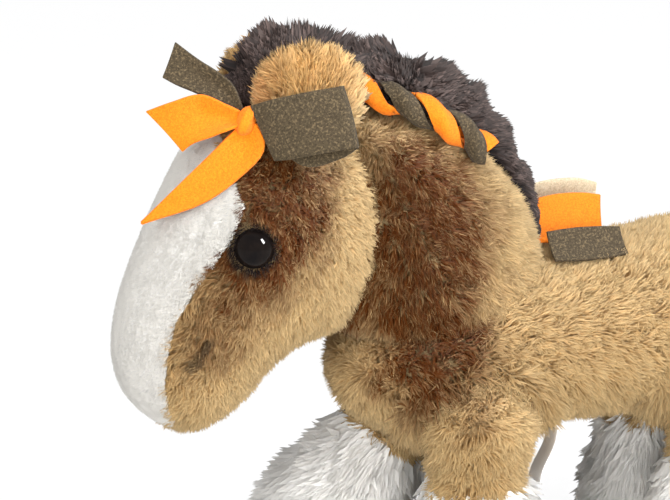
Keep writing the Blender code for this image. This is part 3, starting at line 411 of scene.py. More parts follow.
def head_rows():
    """Rows of the head; up to the skull's end, its back and sides are half an ellipsoid."""
    table = np.array(FACE_RINGS)
    lengths = np.where(table[:, :1] < 0, SKULL_RADIUS, MUZZLE_LENGTH)
    radii = np.tile((SKULL_RADIUS, SKULL_RADIUS, SKULL_WIDTH), (len(table), 1))
    rows = curve(table * np.hstack([lengths, radii]), np.linspace(0, 1, 53), True, True)
    along = rows[:, 0].copy()
    skull = along <= SKULL_END_SHARE * MUZZLE_LENGTH
    round_share = np.sqrt(np.maximum(0, 1 - (along / SKULL_RADIUS) ** 2))
    behind = np.where(skull, SKULL_RADIUS * round_share, rows[:, 2])
    across = np.where(skull, SKULL_WIDTH * round_share, rows[:, 3])
    return np.column_stack([along, np.zeros(len(along)), np.maximum(rows[:, 1], 0), behind, across])


def leg_form(name):
    """One leg's padded form, turned about its hip."""
    x, side, turn = LEGS[name]
    down = np.array([-math.sin(turn), 0, -math.cos(turn)])
    ahead = np.array([-math.cos(turn), 0, math.sin(turn)])
    return Form((x, side * HIP_SIDE, HIP_Z), down, ahead, [(a, 0, r, r, r) for a, r in LEG_RINGS])


TORSO = Form(TORSO_START, X, Z, sized(TORSO_RINGS, TORSO_SIZES))
NECK = Form(NECK_START, Z, -X, sized(NECK_RINGS, NECK_SIZES))
HEAD = Form(NOD, FACE_DOWN, FACE_OUT, head_rows())
LEG_FORMS = {name: leg_form(name) for name in LEGS}


def head_place(along, turn, side=-1):
    """A point of the head and its normal at a distance from the nod axis and an angle round the face."""
    rows = HEAD.rows
    s = np.interp(along, rows[:, 0], np.linspace(0, 1, len(rows)))
    s, a = np.atleast_1d(s), np.atleast_1d(turn * -side)
    point, normal = HEAD.at(s, a)[0], HEAD.normal(s, a)[0]
    if point[1] * side < 0:
        point, normal = point * (1, -1, 1), normal * (1, -1, 1)
    return point, normal


def smoothstep(low, high, value):
    """0 below low, 1 above high, and the cubic 3t2 - 2t3 between."""
    t = np.clip((value - low) / (high - low), 0, 1)
    return t * t * (3 - 2 * t)


def wobble(points, size, seed, waves=5):
    """A smooth field of vectors: a sum of sine waves of that size in seeded directions."""
    rng = np.random.default_rng(seed)
    vectors = rng.normal(size=(waves, 3)) * (2 * np.pi / size)
    phases = rng.random((3, waves)) * 2 * np.pi
    swing = points @ vectors.T
    return np.stack([np.sin(swing + phase).sum(1) for phase in phases], axis=1) / math.sqrt(waves)


def ink(*srgb):
    """A colour of 0 to 255 as linear light."""
    c = np.array(srgb, float) / 255
    return np.where(c <= 0.04045, c / 12.92, ((c + 0.055) / 1.055) ** 2.4)


def mix(low, high, share):
    """From one colour to another by a share for each row."""
    return low + (high - low) * np.asarray(share)[:, None]


def new_mesh(name, points, faces, body, slot):
    """An object at the origin from points and faces, on its body."""
    mesh = bpy.data.meshes.new(name)
    mesh.from_pydata(np.asarray(points, float).reshape(-1, 3).tolist(), [], [tuple(f) for f in faces])
    return finish_mesh(name, mesh, body, slot)


def finish_mesh(name, mesh, body, slot):
    """Links a smooth mesh as an object that rides on a body; given several bodies, it is left where it
    stands.
    """
    mesh.update()
    mesh.shade_smooth()
    piece = bpy.data.objects.new(name, mesh)
    bpy.context.scene.collection.objects.link(piece)
    if isinstance(body, str):
        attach(piece, body)
    else:
        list(body)
        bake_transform(piece)
    return piece


def grid_faces(rows, columns, wrap=True):
    """Quads of a grid of rows and columns, with columns joined round where they wrap."""
    r, c = np.meshgrid(np.arange(rows - 1), np.arange(columns if wrap else columns - 1), indexing="ij")
    following = (c + 1) % columns
    return np.stack([r * columns + c, r * columns + following, (r + 1) * columns + following,
                     (r + 1) * columns + c], axis=-1).reshape(-1, 4)


def closed_shell(name, grid, body, slot):
    """A closed skin from a wrapped grid whose first and last rows shrink to a point each.

    The faces turn outwards where the sum of each triangle's corner products is positive.
    """
    rows, columns = grid.shape[:2]
    middle = grid[1:-1].reshape(-1, 3)
    points = np.vstack([grid[0].mean(0), middle, grid[-1].mean(0)])
    quads = grid_faces(rows - 2, columns) + 1
    k = np.arange(columns)
    following = (k + 1) % columns
    top = np.column_stack([np.zeros(columns, int), following + 1, k + 1])
    last = 1 + (rows - 3) * columns
    bottom = np.column_stack([np.full(columns, len(points) - 1), last + k, last + following])
    faces = [f for part in (quads, top, bottom) for f in part.tolist()]
    fan = np.array([[f[0], f[1], f[-1]] for f in faces])
    corners = points[fan] - points.mean(0)
    if (corners[:, 0] * np.cross(corners[:, 1], corners[:, 2])).sum() < 0:
        faces = [f[::-1] for f in faces]
    return new_mesh(name, points, faces, body, slot)


def paint(piece, tones):
    """Stores a colour for each point."""
    layer = piece.data.color_attributes.new("fur_colour", "FLOAT_COLOR", "POINT")
    flat = np.ones((len(piece.data.vertices), 4))
    flat[:, :3] = tones
    layer.data.foreach_set("color", flat.ravel())


def pelt(name, body, slot, roots, normals, comb, lengths, width, lift, root_colour, tip_colour,
         seed, **more):
    """Fur in bands along the body, each of them a piece of at most a band's strands."""
    bands = max(1, math.ceil(len(roots) / BAND_STRANDS))
    rank = np.argsort(np.argsort(roots[:, 0])) * bands // len(roots)
    for k in range(bands):
        r = rank == k
        band = name if bands == 1 else "%s_%d" % (name, k + 1)
        strands(band, body, slot, roots[r], normals[r], comb[r], lengths[r], width, lift,
                root_colour[r], tip_colour[r], seed + k, **more)


def strands(name, body, slot, roots, normals, comb, lengths, width, lift, root_colour, tip_colour,
            seed, clump=0.0035, gather=0.35, frizz=0.22, floor=0.0004, fleck=0.13, soft_share=0.35):
    """Fur: each strand is a thin closed kite of four faces from root to tip.

    A strand leaves its root along normal times lift plus comb, and its outer half leans further
    along the comb. The tips in one cell of a warped grid are drawn together by the gather share,
    and the middles a quarter as much.
    """
    rng = np.random.default_rng(seed)
    count = len(roots)
    comb = unit(comb - normals * (comb * normals).sum(1, keepdims=True))
    noise = wobble(roots, 0.009, seed) * frizz + rng.normal(size=(count, 3)) * frizz * 0.6
    lower = unit(normals * lift + comb * (1 - lift) * 0.7 + noise)
    upper = unit(normals * lift * 0.62 + comb * (1 - lift) * 1.5 + noise * 1.3)
    reach = (lengths * rng.uniform(0.78, 1.12, count))[:, None]
    middles = roots + lower * reach * 0.5
    tips = middles + upper * reach * 0.5
    warped = roots + wobble(roots, 0.006, seed + 1) * clump * 0.45
    _, cell = np.unique(np.floor(warped / clump).astype(int), axis=0, return_inverse=True)
    cell = cell.ravel()
    size = np.bincount(cell)[:, None]
    tip_mean, middle_mean = (np.column_stack([np.bincount(cell, ends[:, k]) for k in range(3)]) / size
                             for ends in (tips, middles))
    tips = tips + (tip_mean[cell] - tips) * gather
    middles = middles + middle_mean[cell] * gather * 0.25 - middles * gather * 0.25
    tips[:, 2] = np.maximum(tips[:, 2], floor)
    middles[:, 2] = np.maximum(middles[:, 2], floor * 2)
    across = unit(np.cross(lower + upper, normals + rng.normal(size=(count, 3)) * 0.5)) * (width / 2)
    left, right = middles + across, middles - across
    base = roots - normals * 0.0008
    base[:, 2] = np.maximum(base[:, 2], floor)
    turned = (np.cross(left - base, right - base) * (tips - base)).sum(1) < 0
    left, right = np.where(turned[:, None], right, left), np.where(turned[:, None], left, right)
    tone = 1 + fleck * (rng.uniform(-1, 1, count)[:, None] + 0.7 * wobble(roots, 0.004, seed + 2)[:, :1])
    tip_colour, root_colour = np.clip(tip_colour * tone, 0, 1), np.clip(root_colour * tone, 0, 1)
    order = np.argsort(tip_colour.sum(1))
    points = np.stack([base, left, right, tips], axis=1)[order].reshape(-1, 3)
    half = (root_colour + tip_colour) / 2
    tones = np.stack([root_colour, half, half, tip_colour], axis=1)[order].reshape(-1, 3)
    soft = unit(normals[:, None] + np.stack([lower, lower, lower, upper], axis=1) * soft_share
                + rng.normal(size=(count, 1, 3)) * soft_share * 0.3)[order].reshape(-1, 3)
    first = np.arange(count)[:, None] * 4
    faces = (first[:, None] + np.array([(0, 2, 1), (3, 1, 2), (0, 1, 3), (0, 3, 2)])[None]).reshape(-1, 3)
    mesh = bpy.data.meshes.new(name)
    mesh.vertices.add(len(points))
    mesh.vertices.foreach_set("co", points.ravel())
    mesh.loops.add(len(faces) * 3)
    mesh.loops.foreach_set("vertex_index", faces.ravel())
    mesh.polygons.add(len(faces))
    mesh.polygons.foreach_set("loop_start", np.arange(len(faces)) * 3)
    mesh.update(calc_edges=True)
    share = (np.arange(count) + 0.5) / count
    spread = 0.5 / count
    uv = np.stack([np.column_stack([share, np.full(count, 0.02)]),
                   np.column_stack([share - spread, np.full(count, 0.5)]),
                   np.column_stack([share + spread, np.full(count, 0.5)]),
                   np.column_stack([share, np.full(count, 0.98)])], axis=1).reshape(-1, 2)
    layer = mesh.uv_layers.new(name="OFBake")
    layer.data.foreach_set("uv", uv[faces.ravel()].ravel())
    piece = finish_mesh(name, mesh, body, slot)
    piece.data.normals_split_custom_set_from_vertices(soft.tolist())
    paint(piece, tones)
    piece.data.materials.append(fur_material(slot))


class Socket:
    """A node's output that can be added and multiplied."""

    def __init__(self, tree, output):
        self.tree, self.output = tree, output

    def _math(self, operation, one, other):
        return self.tree.node("ShaderNodeMath", {"operation": operation}, [one, other])

    def __add__(self, other):
        return self._math("ADD", self, other)

    def __mul__(self, other):
        return self._math("MULTIPLY", self, other)

    __radd__, __rmul__ = __add__, __mul__


class Finish:
    """A material under construction: its tree, its Principled shader and one way to add nodes."""

    def __init__(self, name):
        self.material = bpy.data.materials.new(name)
        self.material.use_nodes = True
        self.tree = self.material.node_tree
        self.shader = self.tree.nodes["Principled BSDF"]

    def put(self, socket, value):
        """Sets a socket to a value or links it."""
        if isinstance(value, Socket):
            self.tree.links.new(value.output, socket)
        else:
            socket.default_value = value

    def node(self, kind, settings=None, values=None, output=0):
        """Adds one node: its settings first, then its sockets by number or name; gives an output."""
        made = self.tree.nodes.new(kind)
        for key, value in (settings or {}).items():
            if key == "stops":
                for k, (place, colour) in enumerate(value):
                    stop = made.color_ramp.elements[k] if k < 2 else made.color_ramp.elements.new(place)
                    stop.position, stop.color = place, colour
            else:
                setattr(made, key, value)
        pairs = enumerate(values) if isinstance(values, (list, tuple)) else (values or {}).items()
        for key, value in pairs:
            self.put(made.inputs[key], value)
        return Socket(self, made.outputs[output])

    def place(self):
        """The point in the object's own metres."""
        return self.node("ShaderNodeTexCoord", output="Object")

    def noise(self, size, detail=2.0, rough=0.5):
        """Noise from 0 to 1 whose features are of that size in metres."""
        values = {"Vector": self.place(), "Scale": 1 / size, "Detail": detail, "Roughness": rough}
        return self.node("ShaderNodeTexNoise", {}, values, output="Fac")

    def blend(self, share, low, high):
        """Colours mixed by a share."""
        return self.node("ShaderNodeMix", {"data_type": "RGBA"}, {0: share, 6: low, 7: high}, output=2)

    def ramp(self, share, *stops):
        """A colour ramp through stops of place and grey."""
        return self.node("ShaderNodeValToRGB", {"stops": [(p, (v, v, v, 1)) for p, v in stops]}, [share])

    def bump(self, height, distance, strength):
        """A normal from a height in metres."""
        return self.node("ShaderNodeBump", {}, {"Height": height, "Distance": distance, "Strength": strength})

    def set(self, **sockets):
        """Sets the shader's sockets, written with underscores for spaces."""
        for name, value in sockets.items():
            self.put(self.shader.inputs[name.replace("_", " ")], value)
        return self.material


def rgba(colour, share=1.0):
    """A linear colour with alpha, scaled."""
    return (*[float(min(c * share, 1)) for c in colour[:3]], 1)


MADE = {}


def once(name, make):
    """A material made the first time it is asked for."""
    if name not in MADE:
        MADE[name] = make(name)
    return MADE[name]


def fur_material(slot):
    """Fur's colour comes from each strand, darker at its root; a soft sheen lies over it."""
    def make(name):
        finish = Finish(name)
        colour = finish.node("ShaderNodeAttribute", {"attribute_name": "fur_colour"}, output="Color")
        return finish.set(Base_Color=colour, Roughness=0.85, Sheen_Weight=0.03, Sheen_Roughness=0.5,
                          Specular_IOR_Level=0.15)
    return once("fur_" + slot, make)


def hide_material(name, colour):
    """Backing cloth under the fur: a fine knit seen only where the pile parts."""
    def make(title):
        finish = Finish(title)
        grain = finish.noise(0.0012, 3)
        tones = finish.blend(grain, rgba(colour, 0.55), rgba(colour, 0.85))
        return finish.set(Base_Color=tones, Roughness=0.95, Normal=finish.bump(grain, 0.0004, 0.6))
    return once(name, make)


def felt_material(name, low, high, speck, grain):
    """Felt: a dense grain of light and dark fibres over broader clouds, with pale specks between."""
    def make(title):
        finish = Finish(title)
        fine, broad = finish.noise(0.00075, 3, 0.8), finish.noise(0.0035, 3, 0.6)
        flecks = finish.ramp(fine, (0.38, 0.0), (0.62, 1.0))
        clouds = finish.ramp(broad, (0.30, 0.0), (0.75, 0.35))
        specks = finish.ramp(finish.noise(0.0008, 2), (0.54, 0.0), (0.66, grain))
        tones = finish.blend(flecks, rgba(low), rgba(high))
        tones = finish.blend(clouds, tones, rgba((low + high) / 2))
        tones = finish.blend(specks, tones, rgba(speck))
        height = fine * 0.7 + broad * 0.3
        return finish.set(Base_Color=tones, Roughness=0.95, Sheen_Weight=0.05, Sheen_Roughness=0.6,
                          Specular_IOR_Level=0.1, Normal=finish.bump(height, 0.0006, 0.8))
    return once(name, make)


def gloss_material(name):
    """Polished black resin with a dark brown depth and a clear coat."""
    def make(title):
        finish = Finish(title)
        depth = finish.ramp(finish.noise(0.006, 2), (0.3, 0.0), (0.8, 1.0))
        tones = finish.blend(depth, (0.004, 0.003, 0.003, 1), (0.012, 0.008, 0.006, 1))
        return finish.set(Base_Color=tones, Roughness=0.30, Specular_IOR_Level=0.0, Coat_Weight=1.0,
                          Coat_Roughness=0.02, Coat_IOR=1.18)
    return once(name, make)


def plain_material(name, colour, size, roughness, depth):
    """A plain cloth or moulded surface with a fine grain of that size."""
    def make(title):
        finish = Finish(title)
        grain = finish.noise(size, 3, 0.6)
        tones = finish.blend(grain, rgba(colour, 0.82), rgba(colour, 1.1))
        return finish.set(Base_Color=tones, Roughness=roughness, Normal=finish.bump(grain, depth, 0.6))
    return once(name, make)


def satin_material(name, colour):
    """Woven satin: fine threads across the strip, with a soft gloss."""
    def make(title):
        finish = Finish(title)
        threads = {"Vector": finish.place(), "Scale": 900.0, "Distortion": 1.5, "Detail": 1.0}
        weave = finish.node("ShaderNodeTexWave", {"wave_type": "BANDS", "bands_direction": "Z"}, threads,
                            output="Fac")
        tones = finish.blend(weave, rgba(colour, 0.9), rgba(colour, 1.03))
        return finish.set(Base_Color=tones, Roughness=0.42, Normal=finish.bump(weave, 0.0001, 0.5))
    return once(name, make)


class HorseSizes(bpy.types.PropertyGroup):
    """Sizes a user may change, in metres."""
    pile: bpy.props.FloatProperty(name="Pile", description="Length of the body fur", default=0.0078,
                                  unit="LENGTH")
    strand: bpy.props.FloatProperty(name="Strand", description="Width of a strand of fur", default=0.00040,
                                    unit="LENGTH")
    blaze_pile: bpy.props.FloatProperty(name="Blaze pile", description="Length of the white face fur",
                                        default=0.0020, unit="LENGTH")
    foot_pile: bpy.props.FloatProperty(name="Foot pile", description="Length of the white foot hair",
                                       default=0.0135, unit="LENGTH")
    mane_strand: bpy.props.FloatProperty(name="Mane strand", description="Width of a strand of mane",
                                         default=0.00040, unit="LENGTH")
    felt: bpy.props.FloatProperty(name="Felt", description="Thickness of the felt ribbon", default=0.0011,
                                  unit="LENGTH")
    density: bpy.props.FloatProperty(name="Density", description="Strands on a square millimetre",
                                     default=3.0, min=0.2, max=8.0)
    camera_distance: bpy.props.FloatProperty(name="Camera distance", default=1.2, unit="LENGTH",
                                             description="From the camera to the horse")


def colour_property(name, description, srgb):
    """A colour a user may change."""
    return bpy.props.FloatVectorProperty(name=name, description=description, subtype="COLOR", size=3,
                                         min=0, max=1, default=tuple(float(v) for v in ink(*srgb)))


class HorseColours(bpy.types.PropertyGroup):
    """Colours a user may change."""
    tan: colour_property("Tan", "Light tan of the fur's tips", (215, 185, 134))
    brown: colour_property("Brown", "Dark brown shaded over cheek and neck", (104, 56, 14))
    ear_tan: colour_property("Ear", "Light tan of the ears", (220, 188, 136))
    white: colour_property("White", "White of the blaze and the feet", (250, 247, 241))
    mane: colour_property("Mane", "Dark brown of the mane's base", (34, 25, 22))
    # The mane's tips: the hair's own brown, made lighter by painted highlight
    mane_tip: colour_property("Mane tip", "Brown of the mane's tips", (112, 94, 88))
    orange: colour_property("Orange", "Orange felt", (246, 132, 24))
    olive: colour_property("Olive", "Olive felt", (82, 70, 51))


def sizes():
    """The sizes in use."""
    return bpy.context.scene.horse_sizes


def colours():
    """The colours in use, as arrays."""
    group = bpy.context.scene.horse_colours
    return {key: np.array(getattr(group, key)) for key in HorseColours.__annotations__}


def brown_and_painted_shade(points, normals, on_head):
    """Where the brown lies: round the eye and the temple on the head, and elsewhere on the sides of the neck
    and the chest; in the crease below the jaw it is painted shade.

    Each patch is 1 in its middle and falls off smoothly with the distance in its own radii. The patches are
    the fur's own brown, but their fade where the fur faces forward, back or up is painted light: the lit tops
    and rims.
    """
    wavy = points - STAND + wobble(points, 0.022, 41) * 0.0035
    # Painted light: less brown where the fur faces up, forward or back, for lit tops and rims
    side = smoothstep(0.30, 0.85, np.abs(normals[:, 1]))
    shade = np.zeros(len(points))
    along, out = ((wavy - NOD) @ FACE_DOWN, (wavy - NOD) @ FACE_OUT) if on_head else (wavy[:, 0], wavy[:, 2])
    for u, v, u_radius, v_radius, strength in HEAD_PATCHES if on_head else BODY_PATCHES:
        distance = np.hypot((along - u) / u_radius, (out - v) / v_radius)
        shade = np.maximum(shade, (1 - smoothstep(0.20, 1.20, distance)) * strength)
    shade = np.clip(shade, 0, 1) * (0.25 + 0.75 * side)
    if on_head:
        return shade
    # Painted shade: the neck's fur darkens in the crease under the jaw, more the nearer it lies to the head
    gap = np.maximum(-HEAD.depth(points), 0)
    crease = np.where(points[:, 2] < JAW_TOP, gap / 0.30, 2)
    return np.maximum(shade, 0.9 * (1 - smoothstep(0.10, 0.85, crease)))


def plain_pile(points):
    """The pile's full length everywhere."""
    return np.ones(len(points))


def body_fur(name, body, form, area, comb, seed, keep, density=1.0, lift=0.80, dark_share=None,
             lengths=plain_pile):
    """Tan fur over a form: roots spread evenly and kept where a test on them allows.

    Each strand takes the tan or the brown by the shade at its root, moved a little at random.
    """
    rng = np.random.default_rng(seed)
    s, a = form.scatter(strand_count(area, sizes().density * density), rng)
    points, normals = form.at(s, a), form.normal(s, a)
    good = keep(points, s, a)
    points, normals = points[good], normals[good]
    tone = colours()
    share = brown_and_painted_shade(points, normals, form is HEAD)
    share = np.clip(share + rng.normal(size=len(share)) * 0.16 * (0.15 + share)
                    + wobble(points, 0.007, seed + 9)[:, 0] * 0.13 * (0.2 + share), 0, 1)
    tip, root = mix(tone["tan"], tone["brown"], share), mix(tone["tan"] * DEEP, tone["brown"] * DEEP, share)
    if dark_share is not None:
        dark = dark_share(points)
        tip = mix(tip, tone["mane"], dark)
        root = mix(root, tone["mane"] * 0.8, dark)
    pile = sizes().pile * lengths(points)
    sunk = np.minimum(pile, sizes().pile) * SUNK_SHARE
    pelt(name, body, "tan_plush", points - normals * sunk[:, None], normals, comb(points), pile,
         sizes().strand / math.sqrt(density), lift, root, tip, seed, clump=0.0026, gather=0.22, frizz=0.27)


def strand_count(area, density):
    """Strands that an area in square metres takes at a density on a square millimetre."""
    return int(area * SQUARE_MM_IN_M2 * density)


def hide(name, body, form, nodes, slot, colour, inset, rows=48, columns=40):
    """The padded hide under the fur, drawn in from the form by an inset and kept off the floor."""
    grid = form.grid(rows, columns, inset)
    grid[..., 2] = np.maximum(grid[..., 2], LEAST_HIDE_Z)
    piece = closed_shell(name, grid, body, slot)
    piece.data.materials.append(hide_material("hide_" + slot, colour))
    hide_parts(*nodes)


class HORSE_OT_torso(bpy.types.Operator):
    """Torso and neck: padded hides and their fur."""
    bl_idname = "horse.torso"
    bl_label = "Torso and neck"

    def execute(self, context):
        """Builds the torso and the neck."""
        tone = colours()
        inset = sizes().pile * SUNK_SHARE
        hide("torso_hide", "torso", TORSO, ("torso_skin", "torso_stuffing"), "tan_plush", tone["tan"], inset)
        hide("neck_hide", "torso", NECK, ("neck_skin", "neck_stuffing"), "tan_plush", tone["tan"], inset)

        def crease(points):
            """Longer pile where the torso meets a leg, to cover the join."""
            near = np.max([form.depth(points) for form in LEG_FORMS.values()], axis=0)
            return 1 + smoothstep(-0.6, -0.05, near) * (points[:, 2] < LEG_CREASE_TOP)

        def torso_comb(points):
            """Backwards, and further down where the pile is longer."""
            return X * 0.8 - Z * (0.2 + 1.6 * (crease(points) - 1))[:, None]

        def torso_keep(points, s, a):
            """Not under the neck or the legs."""
            free = NECK.depth(points) < 0.10
            for form in LEG_FORMS.values():
                free &= form.depth(points) < 0.12
            return free

        def neck_comb(points):
            """Down and a little backwards."""
            return np.tile(X * 0.25 - Z, (len(points), 1))

        def neck_keep(points, s, a):
            """Not inside the torso or under the head."""
            return (TORSO.depth(points) < 0.06) & (HEAD.depth(points) < 0.10)

        body_fur("torso_fur", "torso", TORSO, TORSO_AREA, torso_comb, 11, torso_keep, lengths=crease)
        body_fur("neck_fur", "torso", NECK, NECK_AREA, neck_comb, 12, neck_keep, density=1.4)
        return {"FINISHED"}


def blaze_turn(along):
    """The blaze's half-angle at a distance from the nod axis."""
    return np.radians(np.interp(along, *np.transpose(BLAZE_EDGE), left=0))


def eye_distance(points):
    """The least distance to either eye's middle."""
    near = [np.linalg.norm(points - head_place(EYE_ALONG, EYE_TURN, side)[0], axis=1) for side in (-1, 1)]
    return np.minimum(*near)


class HORSE_OT_head(bpy.types.Operator):
    """Head: padded hide, tan fur and the white blaze."""
    bl_idname = "horse.head"
    bl_label = "Head and blaze"

    def execute(self, context):
        """Builds the head."""
        tone, size = colours(), sizes()
        hide("head_hide", "head", HEAD, ("head_skin", "head_stuffing"), "tan_plush", tone["tan"],
             size.pile * SUNK_SHARE)

        def turn_of(s, a):
            """The distance along and the angle from the face's middle."""
            along = np.interp(s, np.linspace(0, 1, len(HEAD.rows)), HEAD.rows[:, 0])
            return along, np.abs((a + np.pi) % (2 * np.pi) - np.pi)

        def tan_keep(points, s, a):
            """Outside the blaze and the eyes."""
            along, turn = turn_of(s, a)
            ragged = wobble(points, 0.006, 5)[:, 0] * 0.025
            return (turn > blaze_turn(along) + ragged + 0.01) & (eye_distance(points) > EYE_TAN_FROM)

        def comb(points):
            """Down the face and forward over the blaze's edge."""
            return np.tile(FACE_DOWN * 0.9 + FACE_OUT * 0.45, (len(points), 1)) - 0.25 * Z

        def eye_ring_and_nostril_shade(points):
            """The dark ring round each eye, and the painted shade of the short crease beside the nostril."""
            local = points - STAND - NOD
            u, v = local @ FACE_DOWN - NOSTRIL_ALONG, local @ FACE_OUT - NOSTRIL_OUT
            # Painted shade: a dark stroke along the crease beside the nostril
            crease = np.hypot(v + NOSTRIL_BEND * u**2, np.maximum(np.abs(u) - NOSTRIL_HALF, 0))
            eye = 1 - smoothstep(EYE_RING_FADE, EYE_RING_END, eye_distance(points))
            return np.maximum(eye, 0.72 * (1 - smoothstep(0.0006, 0.0026, crease)))

        def lengths(points):
            """Shorter pile on the face, and half of that beside the eye."""
            return 0.85 * (0.50 + 0.50 * smoothstep(0.0070, 0.0125, eye_distance(points)))

        body_fur("head_fur", "head", HEAD, HEAD_AREA, comb, 21, tan_keep, density=1.35, lift=0.78,
                 dark_share=eye_ring_and_nostril_shade, lengths=lengths)
        rng = np.random.default_rng(22)
        s, a = HEAD.scatter(strand_count(HEAD_AREA, size.density * 2.6), rng)
        along, turn = turn_of(s, a)
        points = HEAD.at(s, a)
        white = (turn < blaze_turn(along) + 0.02) & (eye_distance(points) > EYE_WHITE_FROM)
        points, normals = points[white], HEAD.normal(s, a)[white]
        pile = size.blaze_pile
        plain = np.tile(tone["white"] * (0.86, 0.85, 0.83), (len(points), 1))
        pelt("blaze_fur", "head", "white_plush", points - normals * pile * 0.85, normals,
             np.tile(FACE_DOWN, (len(points), 1)), np.full(len(points), pile), size.strand * 0.75, 0.85,
             plain * 0.97, plain, 220, gather=0.0, frizz=0.12, fleck=0.015, soft_share=0.03)
        panel = self.panel(size.blaze_pile * 0.45)
        panel.data.materials.append(hide_material("hide_white", tone["white"] * 1.05))
        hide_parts("blaze_panel")
        return {"FINISHED"}

    def panel(self, inset):
        """The white panel under the blaze: a closed leaf that follows the face, two millimetres thick.

        A ring of it spans the blaze's angle at its distance along the face; the leaf's outer side lies
        an inset under the fur's surface, its inner side deeper, and both meet at its edges.
        """
        along = np.linspace(BLAZE_EDGE[0][0] + 0.0005, BLAZE_EDGE[-2][0], 60)
        s = np.interp(along, HEAD.rows[:, 0], np.linspace(0, 1, len(HEAD.rows)))
        s = np.minimum(s, 0.995)
        half = np.maximum(blaze_turn(along), BLAZE_LEAST_TURN)
        loop = np.linspace(0, 2 * np.pi, 64, endpoint=False)
        across, depth = np.cos(loop), np.sin(loop)
        turn = half[:, None] * across[None, :]
        place = np.broadcast_to(s[:, None], turn.shape)
        normal = HEAD.normal(place, turn)
        sink = inset + BLAZE_CLOTH_HALF - BLAZE_CLOTH_HALF * np.sign(depth) * np.abs(depth) ** 0.5
        grid = HEAD.at(place, turn) - normal * sink[None, :, None]
        return closed_shell("blaze_cloth", grid, "head", "white_plush")


class HORSE_OT_eyes(bpy.types.Operator):
    """Eyes: polished domes in the dark ring of fur."""
    bl_idname = "horse.eyes"
    bl_label = "Eyes"

    def execute(self, context):
        """Builds both eyes."""
        for name, side in (("left", -1), ("right", 1)):
            surface, normal = head_place(EYE_ALONG, EYE_TURN, side)
            seat = surface - normal * EYE_SINK
            fore = unit(np.cross(normal, Z))
            across = np.cross(normal, fore)
            t = np.linspace(0, np.pi / 2, 20)
            dome = np.column_stack([EYE_HEIGHT * np.cos(t), EYE_RADIUS * np.sin(t)])
            height, radius = np.vstack([dome, EYE_RIM]).T
            a = np.linspace(0, 2 * np.pi, 48, endpoint=False)
            grid = (seat + height[:, None, None] * normal + radius[:, None, None]
                    * (np.cos(a)[None, :, None] * fore + np.sin(a)[None, :, None] * across))
            eye = closed_shell("eye_dome_" + name, grid, "head", "eye_plastic")
            eye.data.materials.append(gloss_material("eye_gloss"))
            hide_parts("eye_" + name)
            washer = frame["nodes"]["eye_washer_" + name]
            washer.data.materials.clear()
            plastic = plain_material("washer_plastic", (0.75, 0.75, 0.72), 0.002, 0.5, 0.0001)
            washer.data.materials.append(plastic)
        return {"FINISHED"}


def hinge_of(joint):
    """A joint's place in the record, in the row frame."""
    for made in frame["record"]["behaviour"]["joints"]:
        if made["name"] == joint:
            return np.array(made["pos_m"])
    raise RuntimeError("no joint named " + joint)


class HORSE_OT_ears(bpy.types.Operator):
    """Ears: padded leaves with long tan pile."""
    bl_idname = "horse.ears"
    bl_label = "Ears"

    def execute(self, context):
        """Builds both ears."""
        tone, size = colours(), sizes()
        left_hinge = hinge_of("ear_left_flap")
        for name, side in (("ear_left", -1), ("ear_right", 1)):
            hinge = left_hinge * (1, -side, 1)
            lean = unit(np.array(EAR_LEAN) * (1, -side, 1))
            face = np.array(EAR_FACE) * (1, -side, 1)
            face = unit(face - lean * (face @ lean))
            rows = np.array([(a * EAR_LENGTH, 0, t * EAR_THICKNESS, t * EAR_THICKNESS, w * EAR_WIDTH)
                             for a, w, t in EAR_RINGS])
            shares = (EAR_HIDE_LENGTHS[side], 1, EAR_HIDE_THICK, EAR_HIDE_THICK, EAR_HIDE_WIDE)
            core = Form(hinge - lean * EAR_THICKNESS - STAND, lean, face, rows * shares)
            piece = closed_shell(name + "_hide", core.grid(30, 28), name, "tan_plush")
            piece.data.materials.append(hide_material("hide_ear", tone["ear_tan"]))
            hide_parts(name)
            rng = np.random.default_rng(31 + side)
            s, a = core.scatter(strand_count(EAR_AREA, 5.6), rng)
            points, normals = core.at(s, a), core.normal(s, a)
            across = (points - hinge) @ core.side
            comb = lean + core.side * (across / EAR_WIDTH)[:, None] * 1.2
            front = smoothstep(0.25, 0.9, normals @ face)
            along = (points - hinge) @ lean / EAR_LENGTH
            middle = 1 - smoothstep(0.25, 1.0, np.hypot((along - 0.40) / 0.45, across / EAR_WIDTH))
            warm = mix(tone["ear_tan"], ink(*EAR_MIDDLE), middle * 0.55)
            # Painted shade: redder and darker on the ear's front towards one edge
            warm = mix(warm, ink(*EAR_EDGE_SHADE), front * smoothstep(0.2, 1.0, -across / EAR_WIDTH) * 0.7)
            pile = rng.uniform(*EAR_PILE, len(points))
            strands(name + "_fur", name, "tan_plush", points, normals, comb, pile, size.strand * 0.9, 0.55,
                    warm * DEEP, warm * 1.06, 33 + side, gather=0.40, frizz=0.34,
                    fleck=0.2, soft_share=0.6)
        return {"FINISHED"}


def neck_back(share):
    """The neck's back at a share of its height, with the outward normal there."""
    rows = sized(NECK_RINGS, NECK_SIZES)
    s = np.interp(share * NECK_SIZES[0], rows[:, 0], np.linspace(0, 1, len(rows)))
    a = np.full(len(s), np.pi)
    return NECK.at(s, a), NECK.normal(np.clip(s, 0, 0.995), a)


def mane_colours(count, rng):
    """Root and tip colours of dark hair, the tips lighter partly by painted highlight, with a few lighter
    strands.
    """
    tone = colours()
    tip = mix(tone["mane"] * 1.15, tone["mane_tip"], rng.beta(1.6, 2.4, count))
    return np.tile(tone["mane"] * 0.75, (count, 1)), tip


